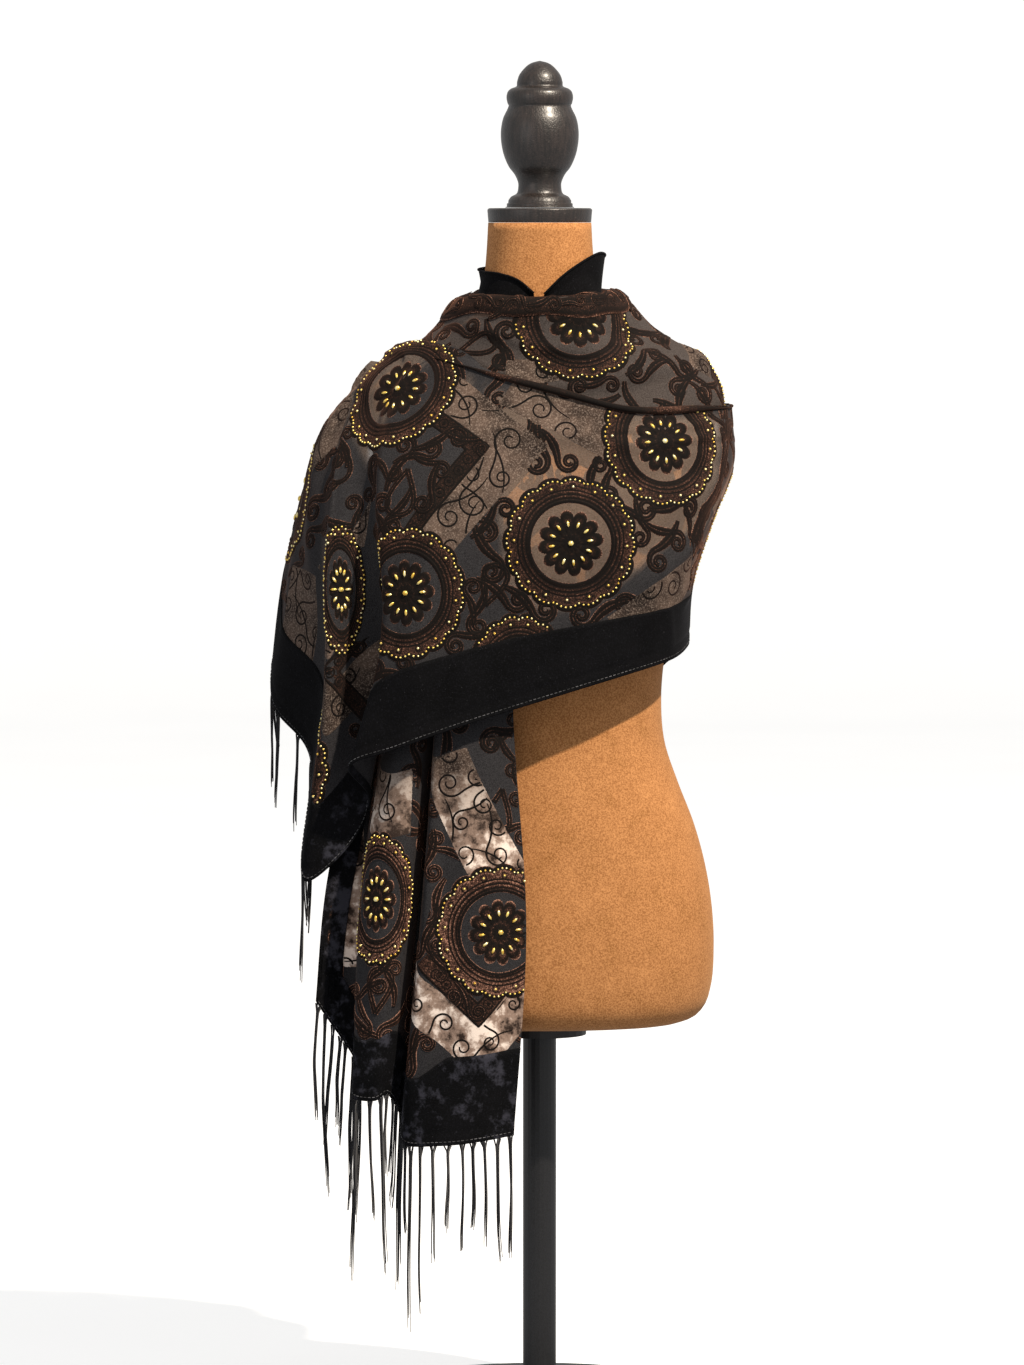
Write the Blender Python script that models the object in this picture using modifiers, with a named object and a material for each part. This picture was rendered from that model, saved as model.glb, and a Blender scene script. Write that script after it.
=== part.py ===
"""A fringed velvet shawl draped on a limbless dress form with a turned finial and a plain stand.

Metres, +Z up. The form faces -Y, and +X is on the right as one looks at its front.
The origin is on the floor, at the middle of the stand's foot.
The tables are in millimetres, because that is how a dressmaker would write them down.
"""

import math

import bmesh
import bpy
import numpy as np
from mathutils import Vector
from mathutils.bvhtree import BVHTree

MM = 0.001

# Driving sizes of the form and its stand
ROUNDNESS = 2.25          # superellipse exponent of the form's level sections
FOOT_RADIUS = 0.160
FOOT_HEIGHT = 0.022
FOOT_EDGE = 0.006
POLE_RADIUS = 0.016
COLLAR_RADIUS = 0.045
COLLAR_HEIGHT = 0.010
PLATE_RADIUS = 0.0503
PLATE_HEIGHT = 0.0136
SEAT_GAP = 0.0003         # between pieces that rest on each other

# Driving sizes of the cloth
CLOTH = 0.0016            # wall of the velvet with its pile
NECK_CLOTH = 0.0014
SKIN_GAP = 0.0058         # least distance from the form to a cloth's outer face
WRAP_SKIN_GAP = 0.0066    # the same for the wrap, which rests on the left shoulder
LAYER_GAP = 0.0048        # from the outer face of one cloth to the outer face of the next
YOKE_GAP = 0.0056         # the same where the wrap's rolled edge lies over the neck wrap
BACK_GAP = 0.0080         # the same where the thrown end lies over the back
LAY_PASSES = 3
LAY_REACH = 0.030
LAY_EDGE = 0.004
EDGE_STEPS = 600          # points along an edge that another cloth is brought to
FOLD_MARGIN = 0.07        # part of a sheet's width, at each side, where its soft folds die out
SEAM_GAP = 0.0007         # between two stretches of the cloth
PANEL_END = -0.125        # how far left the front panel's hem reaches
STRIP_GAP = 0.0012        # from the cloth's edge to the knotted strip of a fringe
STRIP_HEIGHT = 0.0040
STRAND_WIDTH = 0.0026
STRAND_PARTS = 4          # lengths that a strand bends in
STRAND_THROW = 0.005      # how far a strand runs on from the edge before it hangs
STRAND_TAPER = 0.5
STRAND_WANDER = 0.0012
SWAY = 0.05

# The form, a row for each level section: height, half width, depth in front, depth behind
FORM_COLUMNS = ("height", "half_width", "front", "back")
FORM = (
    (376, 115, 72, 80),
    (379, 136, 88, 98),
    (386, 152, 98, 109),
    (397, 160.5, 103, 114),
    (412, 165, 105, 117),
    (450, 168, 106, 118),
    (490, 166, 104, 116),
    (530, 159.5, 100, 110),
    (570, 148.5, 96, 101),
    (610, 133, 91, 91),
    (650, 120, 87, 82),
    (690, 117, 86, 79),
    (730, 120, 90, 82),
    (770, 126, 99, 88),
    (810, 133, 111, 94),
    (850, 141, 120, 99),
    (885, 149, 121, 102),
    (915, 157, 113, 103),
    (945, 166, 100, 102),
    (968, 171, 88, 97),
    (988, 168, 76, 90),
    (1004, 155, 67, 82),
    (1018, 133, 61, 76),
    (1030, 109, 58, 71),
    (1042, 86, 55, 66),
    (1055, 69, 53, 61),
    (1072, 59, 51, 57),
    (1095, 53.5, 50, 54),
    (1120, 51, 49.5, 51),
    (1147, 49.5, 49.5, 49.5),
)

# The turned finial's outline, top to bottom: radius, height
FINIAL_COLUMNS = ("radius", "height")
FINIAL = (
    (0, 1301.8), (7.6, 1299.8), (13.4, 1296), (19.4, 1288.8), (21.8, 1281.8), (22.4, 1277.4),
    (27.5, 1275.2), (30.8, 1272), (31.9, 1266.6), (30.9, 1261.2), (29.9, 1258.8),
    (31.5, 1254.6), (34.8, 1247.8), (36.7, 1240), (37.4, 1230.8), (36.5, 1220.6), (34.1, 1210.6),
    (29.6, 1200.4), (24.3, 1193.4), (21.2, 1186.8), (20.6, 1181.6), (22, 1175.2), (27.4, 1172),
    (30.2, 1168.2), (30.2, 1165.8), (31.6, 1165.4), (31.6, 1162.4), (33, 1162), (33, 1161.6),
)

# The wrap, a row for each fold line: from under the left shoulder's cloth round the back to the
# right side, across the front, over the left arm's place and back to the fringed end's corner
# behind that shoulder. Each has five points down the cloth, each across, deep and high.
WRAP_LEVELS = ("top", "cap", "mid", "low", "hem")
WRAP = {
    "left_side": ((-157, 18, 982), (-176, 16, 938), (-188, 18, 865), (-184, 22, 785), (-180, 24, 700)),
    "left_back": ((-140, 62, 988), (-160, 66, 940), (-166, 78, 865), (-156, 84, 780), (-150, 84, 690)),
    "left_blade": ((-94, 86, 1010), (-112, 104, 950), (-116, 117, 870), (-106, 120, 775), (-100, 118, 672)),
    "left_pleat": ((-48, 100, 1024), (-54, 118, 966), (-55, 125, 880), (-48, 120, 775), (-46, 115, 660)),
    "middle": ((0, 99, 1036), (0, 121, 975), (2, 135, 888), (2, 137, 770), (2, 132, 654)),
    "right_pleat": ((52, 103, 1024), (58, 121, 966), (56, 127, 880), (50, 122, 775), (52, 118, 668)),
    "right_blade": ((100, 101, 1002), (110, 117, 950), (104, 127, 868), (93, 126, 778), (92, 122, 690)),
    "right_back": ((166, 60, 973), (170, 76, 925), (152, 92, 860), (133, 97, 790), (128, 95, 723)),
    "right_side": ((193, 4, 966), (187, 4, 918), (166, 2, 860), (147, 0, 800), (143, -2, 743)),
    "right_front": ((161, -65, 966), (160, -79, 915), (143, -92, 850), (130, -92, 790), (124, -80, 732)),
    "chest_right": ((84, -102, 970), (88, -115, 915), (87, -128, 850), (83, -124, 785), (79, -117, 719)),
    "chest_middle": ((20, -104, 986), (24, -120, 930), (26, -136, 862), (25, -134, 780), (25, -130, 703)),
    "chest_left": ((-38, -98, 1001), (-38, -120, 940), (-36, -139, 865), (-32, -139, 775), (-28, -136, 687)),
    "bust_left": ((-77, -80, 1012), (-84, -112, 950), (-88, -139, 870), (-86, -144, 770), (-85, -142, 669)),
    "under_arm": ((-106, -52, 1019), (-124, -93, 955), (-130, -129, 875), (-134, -143, 765), (-138, -142, 650)),
    "first_fold": ((-122, -34, 1020), (-146, -75, 958), (-150, -119, 868), (-151, -136, 745), (-180, -131, 634)),
    "first_valley": ((-130, -24, 1020), (-156, -63, 956), (-158, -100, 862), (-141, -100, 742), (-162, -96, 600)),
    "second_flank": ((-137, -16, 1019), (-166, -53, 955), (-172, -91, 860), (-172, -93, 732), (-178, -92, 560)),
    "second_fold": ((-143, -9, 1018), (-178, -44, 954), (-193, -88, 856), (-198, -111, 716), (-220, -88, 521)),
    "second_valley": ((-147, -1, 1017), (-190, -30, 953), (-208, -60, 858), (-204, -68, 735), (-219, -56, 636)),
    "outer_side": ((-149, 14, 1015), (-206, 2, 955), (-235, -2, 854), (-249, -4, 762), (-257, -2, 688)),
    "back_flare": ((-143, 44, 1015), (-194, 52, 962), (-222, 60, 890), (-233, 63, 842), (-238, 65, 800)),
    "back_slope": ((-128, 66, 1018), (-160, 84, 985), (-180, 95, 955), (-190, 100, 930), (-196, 103, 905)),
    "end_corner": ((-108, 82, 1022), (-120, 92, 1010), (-131, 99, 998), (-139, 104, 987), (-146, 107, 977)),
}

# The neck wrap, from its tucked lower edge up to the roll round the collar, all round from the
# left shoulder by the front
YOKE_LEVELS = ("tuck", "slope", "fold", "rise", "roll", "inside")
YOKE = {
    "left": ((-141, 6, 1015), (-132, 6, 1022), (-120, 6, 1030), (-103, 5, 1044), (-74, 3, 1074), (-64, 2, 1070)),
    "left_front": ((-110, -50, 1011), (-103, -48, 1020), (-94, -44, 1032), (-82, -40, 1048), (-66, -35, 1077), (-57, -30, 1071)),
    "chest_left": ((-66, -80, 992), (-60, -76, 1006), (-54, -70, 1026), (-50, -66, 1046), (-41, -59, 1078), (-36, -51, 1071)),
    "front": ((0, -88, 962), (0, -80, 998), (0, -74, 1024), (0, -73, 1044), (0, -68, 1076), (0, -58, 1070)),
    "chest_right": ((72, -84, 956), (66, -80, 992), (60, -76, 1022), (50, -70, 1040), (39, -61, 1079), (34, -52, 1071)),
    "right_front": ((142, -56, 956), (128, -52, 992), (112, -50, 1024), (84, -44, 1034), (60, -37, 1080), (52, -31, 1072)),
    "right": ((180, 4, 962), (170, 2, 994), (143, 2, 1018), (108, 1, 1043), (66, 0, 1080), (60, 0, 1072)),
    "right_back": ((144, 62, 968), (128, 62, 1000), (108, 60, 1024), (84, 52, 1044), (62, 38, 1082), (54, 33, 1074)),
    "blade_right": ((78, 86, 982), (68, 82, 1012), (58, 78, 1036), (50, 79, 1056), (41, 66, 1085), (36, 58, 1077)),
    "back": ((0, 91, 1004), (0, 86, 1024), (0, 81, 1044), (0, 77, 1062), (0, 71, 1087), (0, 64, 1079)),
    "blade_left": ((-76, 79, 1000), (-66, 76, 1015), (-58, 74, 1034), (-52, 74, 1054), (-42, 64, 1084), (-37, 56, 1076)),
    "left_back": ((-122, 50, 1000), (-110, 50, 1014), (-96, 48, 1026), (-84, 44, 1046), (-66, 36, 1078), (-57, 31, 1072)),
}

# The black edge that stands round the neck: turn from the front, upper height, radius there
COLLAR_COLUMNS = ("turn", "top", "radius")
COLLAR = (
    (4, 1079, 56), (22, 1096, 57), (45, 1110, 58), (68, 1118, 61), (92, 1116, 63), (125, 1108, 62),
    (180, 1106, 62), (235, 1104, 61), (268, 1102, 59), (292, 1100, 57), (318, 1098, 56), (340, 1091, 55),
    (354, 1080, 55),
)
COLLAR_BOTTOM = 1.0715
ROLL = 0.0070             # how far inwards the wrap's top edge is rolled
# The rows of that roll, from its hidden end up to the crest, in parts of the roll: how far in, how
# much more where the roll dies out, how far down, and how far on where there is no roll
ROLL_COLUMNS = ("inwards", "spare", "downwards", "onwards")
ROLL_ROWS = ((1, 2, 1.4, 3), (1, 0, 0.2, 2), (0.5, 0, -0.35, 1))
UNROLLED, ROLLED = -0.09, -0.03   # across: where the roll begins and where it is whole
COLLAR_FLARE = 0.004
COLLAR_GAP = 0.0025

# The hanging end, a row for each fold line from its right edge leftwards, with six points down
TAIL_LEVELS = ("shoulder", "bust", "waist", "under_hem", "thigh", "edge")
TAIL = {
    "right_edge": ((-46, -92, 968), (-36, -126, 880), (-28, -114, 770), (-25, -116, 672), (-13, -122, 480), (-25, -120, 282)),
    "right_panel": ((-56, -90, 969), (-52, -125, 880), (-50, -118, 770), (-52, -124, 672), (-48, -132, 480), (-58, -131, 277)),
    "panel_left": ((-68, -87, 970), (-72, -121, 880), (-76, -119, 770), (-84, -125, 672), (-92, -132, 480), (-98, -132, 273)),
    "panel_fold": ((-78, -84, 972), (-86, -117, 880), (-92, -118, 770), (-98, -123, 672), (-110, -128, 490), (-126, -119, 272)),
    "deep_valley": ((-88, -78, 973), (-94, -109, 880), (-98, -106, 770), (-100, -96, 672), (-114, -84, 490), (-133, -85, 297)),
    "left_fold_in": ((-98, -76, 975), (-104, -108, 880), (-106, -109, 770), (-114, -118, 672), (-128, -117, 480), (-146, -109, 320)),
    "left_fold": ((-108, -70, 976), (-120, -101, 880), (-122, -104, 770), (-134, -114, 672), (-152, -122, 480), (-158, -115, 314)),
    "left_fold_out": ((-117, -65, 977), (-130, -96, 880), (-130, -93, 770), (-144, -98, 672), (-171, -108, 480), (-177, -104, 316)),
    "left_valley": ((-124, -59, 978), (-134, -87, 880), (-136, -82, 770), (-149, -82, 672), (-170, -72, 480), (-172, -72, 336)),
    "outer_edge": ((-132, -53, 978), (-144, -84, 880), (-148, -74, 770), (-170, -70, 672), (-206, -72, 500), (-214, -74, 405)),
}

# Soft folds laid on the sheets: where each starts and ends, as parts of the way across and down,
# how far it stands out (or in, where less than 0) and its half width
FOLD_COLUMNS = ("across", "down", "across_end", "down_end", "height", "half_width")
FRONT_FOLDS = (
    (0.02, 0.10, 0.34, 0.16, 3.5, 11),
    (0.02, 0.20, 0.28, 0.30, -2.5, 13),
    (0.00, 0.42, 0.20, 0.70, 3.0, 16),
    (0.10, 0.38, 0.34, 0.78, -2.5, 17),
    (0.36, 0.12, 0.30, 0.62, 3.0, 15),
    (0.40, 0.25, 0.45, 0.90, 3.5, 12),
    (0.72, 0.10, 0.69, 0.70, 5.0, 15),
    (0.78, 0.20, 0.76, 0.90, -4.0, 15),
    (0.86, 0.15, 0.86, 0.90, 4.5, 16),
)
BACK_FOLDS = (
    (0.90, 0.15, 0.45, 0.80, 5.0, 18),
    (0.95, 0.45, 0.65, 0.95, -4.0, 16),
    (0.70, 0.12, 0.28, 0.62, -4.0, 17),
    (0.48, 0.10, 0.14, 0.45, 4.5, 15),
)
YOKE_FOLDS = (
    (0.30, 0.30, 0.58, 0.34, 4.0, 9),
    (0.08, 0.55, 0.34, 0.52, 3.0, 8),
    (0.66, 0.40, 0.92, 0.45, 3.5, 10),
)
TAIL_FOLDS = (
    (0.10, 0.55, 0.14, 0.98, 3.0, 12),
    (0.28, 0.50, 0.24, 0.98, -3.0, 12),
)

# How each fringe is spread: number of strands, shortest, longest
FRINGE_COLUMNS = ("strands", "shortest", "longest")
TAIL_FRINGE = (34, 105, 165)
END_FRINGE = (30, 110, 140)


def smooth(points, knots, at):
    """A smooth curve through rows of points at the values knots, read at the values at."""
    points = np.asarray(points, float)
    knots = np.asarray(knots, float)
    shape = (-1,) + (1,) * (points.ndim - 1)
    step = np.diff(knots).reshape(shape)
    slope = np.diff(points, axis=0) / step
    tangent = np.empty_like(points)
    tangent[0], tangent[-1] = slope[0], slope[-1]
    before, after = step[:-1], step[1:]
    tangent[1:-1] = (slope[:-1] * after + slope[1:] * before) / (before + after)
    at = np.asarray(at, float)
    i = np.clip(np.searchsorted(knots, at, side="right") - 1, 0, len(knots) - 2)
    width = step[i]
    t = ((at - knots[i]).reshape(shape)) / width
    near, far = 2 * t**3 - 3 * t**2 + 1, 3 * t**2 - 2 * t**3
    leave, arrive = t**3 - 2 * t**2 + t, t**3 - t**2
    return near * points[i] + far * points[i + 1] + width * (leave * tangent[i] + arrive * tangent[i + 1])


def along(points):
    """How far each point lies along the line through them."""
    return np.concatenate([[0], np.cumsum(np.linalg.norm(np.diff(points, axis=0), axis=1))])


def evenly(points, count):
    """The smooth line through the points, as count points at equal distances."""
    knots = along(points)
    fine = smooth(points, knots, np.linspace(0, knots[-1], 12 * len(points)))
    reach = along(fine)
    at = np.linspace(0, reach[-1], count)
    return np.stack([np.interp(at, reach, fine[:, k]) for k in range(3)], axis=1)


def draped(sections, columns, rows, closed=False):
    """A grid of columns by rows points over the sections, a smooth sheet through all of them."""
    lines = [evenly(np.array(section, float) * MM, rows) for section in sections.values()]
    wrapped = lines[-3:] + lines + lines[:3] if closed else lines
    lines = np.array(wrapped)
    steps = np.linalg.norm(np.diff(lines, axis=0), axis=2).mean(axis=1)
    knots = np.concatenate([[0], np.cumsum(steps)])
    if closed:
        first, last = knots[3], knots[-3]
        at = first + (last - first) * np.arange(columns) / columns
    else:
        at = np.linspace(knots[0], knots[-1], columns)
    return smooth(lines, knots, at)


def ramp(value, low, high):
    """Runs smoothly from 0 at the low value to 1 at the high one."""
    t = np.clip((value - low) / (high - low), 0, 1)
    return t * t * (3 - 2 * t)


def outward(grid):
    """The unit normals of a grid of points, facing away from the form."""
    across, down = np.gradient(grid, axis=0), np.gradient(grid, axis=1)
    normal = np.cross(across, down)
    return normal / np.maximum(np.linalg.norm(normal, axis=2, keepdims=True), 1e-12)


def creased(grid, folds):
    """The grid with each soft fold of the table raised on it, fading out towards its ends."""
    columns, rows = grid.shape[:2]
    width = np.linalg.norm(np.diff(grid, axis=0), axis=2).sum(axis=0).mean()
    height = np.linalg.norm(np.diff(grid, axis=1), axis=2).sum(axis=1).mean()
    across, down = np.meshgrid(np.linspace(0, width, columns), np.linspace(0, height, rows), indexing="ij")
    lift = np.zeros((columns, rows))
    for start, top, end, bottom, raised, spread in folds:
        run = np.array([(end - start) * width, (bottom - top) * height])
        length = np.linalg.norm(run)
        ahead = ((across - start * width) * run[0] + (down - top * height) * run[1]) / length
        aside = ((across - start * width) * run[1] - (down - top * height) * run[0]) / length
        fade = ramp(ahead / length, -0.12, 0.3) * ramp(1 - ahead / length, -0.12, 0.3)
        lift += raised * MM * fade * np.exp(-((aside / (spread * MM)) ** 2))
    lift *= ramp(across / width, 0, FOLD_MARGIN) * ramp(1 - across / width, 0, FOLD_MARGIN)
    return grid + outward(grid) * lift[..., None]


def surface(grid, closed=False):
    """A tree of the triangles of a cloth's outer face, for laying the next cloth over it."""
    columns, rows = grid.shape[:2]
    return BVHTree.FromPolygons(grid.reshape(-1, 3).tolist(), sheet_faces(columns, rows, closed))


def lay_over(grid, under, gap, part=None):
    """The grid with each point at least the gap outside the surface under it.

    Beyond the edge of that surface a point stays where it is. The part is a mask of the points
    that may move.
    """
    moved = grid.copy()
    columns, rows = grid.shape[:2]
    for _ in range(LAY_PASSES):
        push = np.zeros_like(moved)
        for i in range(columns):
            for k in range(rows):
                if part is not None and not part[i, k]:
                    continue
                point = Vector(moved[i, k])
                near, normal, _, distance = under.find_nearest(point, LAY_REACH)
                if near is None:
                    continue
                away = point - near
                height = away.dot(normal)
                if height < gap and (away - normal * height).length < LAY_EDGE:
                    push[i, k] = normal * (gap - height)
        moved += push
    return moved


def carried_to(grid, edge, gap):
    """The grid with two more rows on top, which bring its upper edge to another cloth's edge."""
    fine = evenly(np.concatenate([edge, edge[:1]]) , EDGE_STEPS)
    near = np.array([fine[np.argmin(np.linalg.norm(fine - point, axis=1))] for point in grid[:, 0]])
    away = grid[:, 0] - near
    upper = near + away / np.linalg.norm(away, axis=1, keepdims=True) * gap
    return np.concatenate([upper[:, None], ((upper + grid[:, 0]) / 2)[:, None], grid], axis=1)


def sheet_faces(columns, rows, closed=False):
    """Four-sided faces of a grid of columns by rows points, facing away from the form."""
    last = columns if closed else columns - 1
    faces = []
    for i in range(last):
        j = (i + 1) % columns
        for k in range(rows - 1):
            faces.append((i * rows + k, j * rows + k, j * rows + k + 1, i * rows + k + 1))
    return faces


def material(name, colour, roughness, metallic=0.0):
    """A Principled material of one colour, given as sRGB from 0 to 255."""
    made = bpy.data.materials.new(name)
    made.use_nodes = True
    shader = made.node_tree.nodes["Principled BSDF"]
    linear = [((c / 255) / 12.92 if c <= 10 else ((c / 255 + 0.055) / 1.055) ** 2.4) for c in colour]
    shader.inputs["Base Color"].default_value = (*linear, 1)
    shader.inputs["Roughness"].default_value = roughness
    shader.inputs["Metallic"].default_value = metallic
    made.diffuse_color = (*linear, 1)
    return made


def add_object(name, mesh, finish, collection):
    """Puts a mesh in the collection as a named object with its own material."""
    made = bpy.data.objects.new(name, mesh)
    mesh.materials.append(finish)
    mesh.shade_smooth()
    collection.objects.link(made)
    return made


def add_wall(name, grid, thickness, finish, collection, closed=False):
    """A cloth wall whose outer face is the grid; the thickness goes inwards."""
    columns, rows = grid.shape[:2]
    mesh = bpy.data.meshes.new(name)
    mesh.from_pydata(grid.reshape(-1, 3).tolist(), [], sheet_faces(columns, rows, closed))
    mesh.update()
    made = add_object(name, mesh, finish, collection)
    wall = made.modifiers.new("wall", "SOLIDIFY")
    wall.thickness = thickness
    wall.offset = -1
    wall.use_quality_normals = True
    return made


def add_turned(name, profile, steps, finish, collection):
    """A turned solid from a profile of radius and height that runs top to bottom on its outer side."""
    mesh = bpy.data.meshes.new(name)
    points = [(radius, 0, height) for radius, height in profile]
    mesh.from_pydata(points, [(i, i + 1) for i in range(len(points) - 1)], [])
    made = add_object(name, mesh, finish, collection)
    turn = made.modifiers.new("turn", "SCREW")
    turn.steps = turn.render_steps = steps
    turn.use_merge_vertices = True
    turn.merge_threshold = 0.00001
    return made


def add_form(collection, finish):
    """The padded form: a loft through its level sections, flat underneath and at the neck."""
    around, levels = 38, 31
    rows = np.array(FORM, float) * MM
    knots = along(rows[:, [0, 1, 2]])
    section = smooth(rows, knots, np.linspace(0, knots[-1], levels))
    mesh = bpy.data.meshes.new("dress_form")
    shape = bmesh.new()
    loops = []
    for height, wide, front, back in section:
        loop = []
        for i in range(around):
            turn = 2 * math.pi * i / around
            across, deep = math.sin(turn), -math.cos(turn)
            x = math.copysign(abs(across) ** (2 / ROUNDNESS), across) * wide
            y = math.copysign(abs(deep) ** (2 / ROUNDNESS), deep) * (front if deep < 0 else back)
            loop.append(shape.verts.new((x, y, height)))
        loops.append(loop)
    for lower, upper in zip(loops, loops[1:]):
        for i in range(around):
            j = (i + 1) % around
            shape.faces.new((lower[i], lower[j], upper[j], upper[i]))
    shape.faces.new(list(reversed(loops[0])))
    shape.faces.new(loops[-1])
    shape.normal_update()
    shape.to_mesh(mesh)
    tree = BVHTree.FromBMesh(shape)
    shape.free()
    add_object("dress_form", mesh, finish, collection)
    return tree


def add_stand(collection, finish):
    """The round foot, the pole and the collar that the form sits on."""
    under = FORM[0][0] * MM
    foot = [
        (0, FOOT_HEIGHT), (FOOT_RADIUS - FOOT_EDGE, FOOT_HEIGHT),
        (FOOT_RADIUS, FOOT_HEIGHT - FOOT_EDGE), (FOOT_RADIUS, 0), (0, 0),
    ]
    add_turned("stand_foot", foot, 40, finish, collection)
    top = under - SEAT_GAP - COLLAR_HEIGHT - SEAT_GAP
    bottom = FOOT_HEIGHT + SEAT_GAP
    pole = [(0, top), (POLE_RADIUS, top), (POLE_RADIUS, bottom), (0, bottom)]
    add_turned("stand_pole", pole, 24, finish, collection)
    high, low = under - SEAT_GAP, under - SEAT_GAP - COLLAR_HEIGHT
    collar = [(0, high), (COLLAR_RADIUS, high), (COLLAR_RADIUS, low), (0, low)]
    add_turned("stand_collar", collar, 28, finish, collection)


def add_neck_cap(collection, finish):
    """The turned plate that covers the form's neck and the finial on it."""
    low = FORM[-1][0] * MM + SEAT_GAP
    high = low + PLATE_HEIGHT
    plate = [
        (0, high), (PLATE_RADIUS - 0.0012, high), (PLATE_RADIUS, high - 0.0015),
        (PLATE_RADIUS - 0.0010, low), (0, low),
    ]
    add_turned("neck_plate", plate, 32, finish, collection)
    profile = [(radius * MM, height * MM) for radius, height in FINIAL]
    seat = high + SEAT_GAP
    profile[-1] = (profile[-1][0], seat)
    profile.append((0, seat))
    add_turned("finial", profile, 22, finish, collection)


def collar_grid(columns, rows):
    """The standing edge round the neck: it leans out a little towards its top."""
    table = np.array(COLLAR, float)
    turns = np.linspace(table[0, 0], table[-1, 0], columns)
    shape = smooth(table[:, 1:] * MM, table[:, 0], turns)
    grid = np.empty((columns, rows, 3))
    for i, turn in enumerate(np.radians(turns)):
        top, radius = shape[i]
        for k in range(rows):
            down = k / (rows - 1)
            reach = radius - COLLAR_FLARE * math.sin(down * math.pi / 2)
            height = top + (COLLAR_BOTTOM - top) * down
            grid[i, k] = (reach * math.sin(turn), -reach * math.cos(turn), height)
    return grid[::-1]


def tuck_under(grid, inward, rolled):
    """The grid with three more rows before its first, where the cloth's top edge turns in and down.

    Rolled is 1 for a column whose edge is turned under and 0 for one that runs straight on.
    """
    top, second = grid[:, 0], grid[:, 1]
    down = second - top
    down /= np.linalg.norm(down, axis=1, keepdims=True)
    level = np.stack([-top[:, 0], -top[:, 1], np.zeros(len(top))], axis=1)
    level /= np.linalg.norm(level, axis=1, keepdims=True)
    rolled = rolled[:, None]
    added = []
    for inwards, spare, downwards, onwards in ROLL_ROWS:
        level_part = level * (inwards * rolled ** 0.25 + spare * rolled * (1 - rolled))
        down_part = down * (downwards * rolled - onwards * 0.8 * (1 - rolled))
        added.append(top + inward * (level_part + down_part))
    return np.stack(added + [grid[:, k] for k in range(grid.shape[1])], axis=1)


def parted(grid, split):
    """The two sheets that a grid makes at a column, a seam's gap apart."""
    near, far = grid[: split + 1].copy(), grid[split:].copy()
    step = near[-1] - near[-2]
    near[-1] -= step / np.linalg.norm(step, axis=1, keepdims=True) * SEAM_GAP
    return near, far


def fringe_line(grid, first):
    """The cloth's lower edge from a column on, and the way the cloth runs there."""
    edge, above = grid[first:, -1], grid[first:, -2]
    tangent = np.gradient(edge, axis=0)
    tangent /= np.linalg.norm(tangent, axis=1, keepdims=True)
    run = edge - above
    run -= tangent * (run * tangent).sum(axis=1, keepdims=True)
    return edge, run / np.linalg.norm(run, axis=1, keepdims=True)


def strand_rings(shape, root, run, length, sway, seed):
    """The rings of one strand below the four corners of its root, and its tip."""
    corners = np.array([corner.co for corner in root])
    middle = corners.mean(axis=0)
    spokes = corners - middle
    upper = root
    for k in range(1, STRAND_PARTS + 1):
        t = k / STRAND_PARTS
        fall = run * STRAND_THROW * min(1, 2 * t) + np.array([0, 0, -length * t])
        drift = np.array([sway[0], sway[1], 0]) * t * t * length
        drift[:2] += STRAND_WANDER * np.array([math.sin(5 * t + seed), math.cos(4 * t + seed)]) * t
        centre = middle + fall + drift
        lower = [shape.verts.new(centre + spoke * (1 - STRAND_TAPER * t)) for spoke in spokes]
        for i in range(4):
            j = (i + 1) % 4
            shape.faces.new((upper[i], upper[j], lower[j], lower[i]))
        upper = lower
    shape.faces.new(upper)


def add_fringe(name, edge, run, spread, finish, collection):
    """A fringe: a narrow strip just past the cloth's edge, with strands drawn out of its underside."""
    strands, shortest, longest = spread
    reach = along(edge)
    pitch = reach[-1] / strands
    half = STRAND_WIDTH / 2
    random = np.random.default_rng(7)
    shifts = (random.random(strands) - 0.5) * (pitch - 2 * STRAND_WIDTH)
    centres = pitch * (np.arange(strands) + 0.5) + shifts
    at = np.concatenate([[0], np.stack([centres - half, centres + half], axis=1).ravel(), [reach[-1]]])

    def read(rows):
        return np.stack([np.interp(at, reach, rows[:, k]) for k in range(3)], axis=1)

    line, down = read(edge), read(run)
    out = np.cross(np.gradient(edge, axis=0), run)
    out = read(out / np.linalg.norm(out, axis=1, keepdims=True))
    upper, lower = line + down * STRIP_GAP, line + down * (STRIP_GAP + STRIP_HEIGHT)
    mesh = bpy.data.meshes.new(name)
    shape = bmesh.new()
    corners = [[shape.verts.new(point) for point in (upper[i], lower[i], lower[i] - out[i] * CLOTH,
                                                     upper[i] - out[i] * CLOTH)] for i in range(len(at))]
    for i, (near, far) in enumerate(zip(corners, corners[1:])):
        shape.faces.new((near[0], near[1], far[1], far[0]))
        shape.faces.new((near[2], near[3], far[3], far[2]))
        shape.faces.new((near[3], near[0], far[0], far[3]))
        root = (near[1], near[2], far[2], far[1])
        if i % 2:
            length = MM * (shortest + (longest - shortest) * random.random())
            sway = SWAY * (random.random(2) - 0.5)
            strand_rings(shape, root, down[i], length, sway, i)
        else:
            shape.faces.new(root)
    shape.faces.new(list(reversed(corners[0])))
    shape.faces.new(corners[-1])
    bmesh.ops.recalc_face_normals(shape, faces=shape.faces)
    shape.to_mesh(mesh)
    shape.free()
    return add_object(name, mesh, finish, collection)


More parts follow.
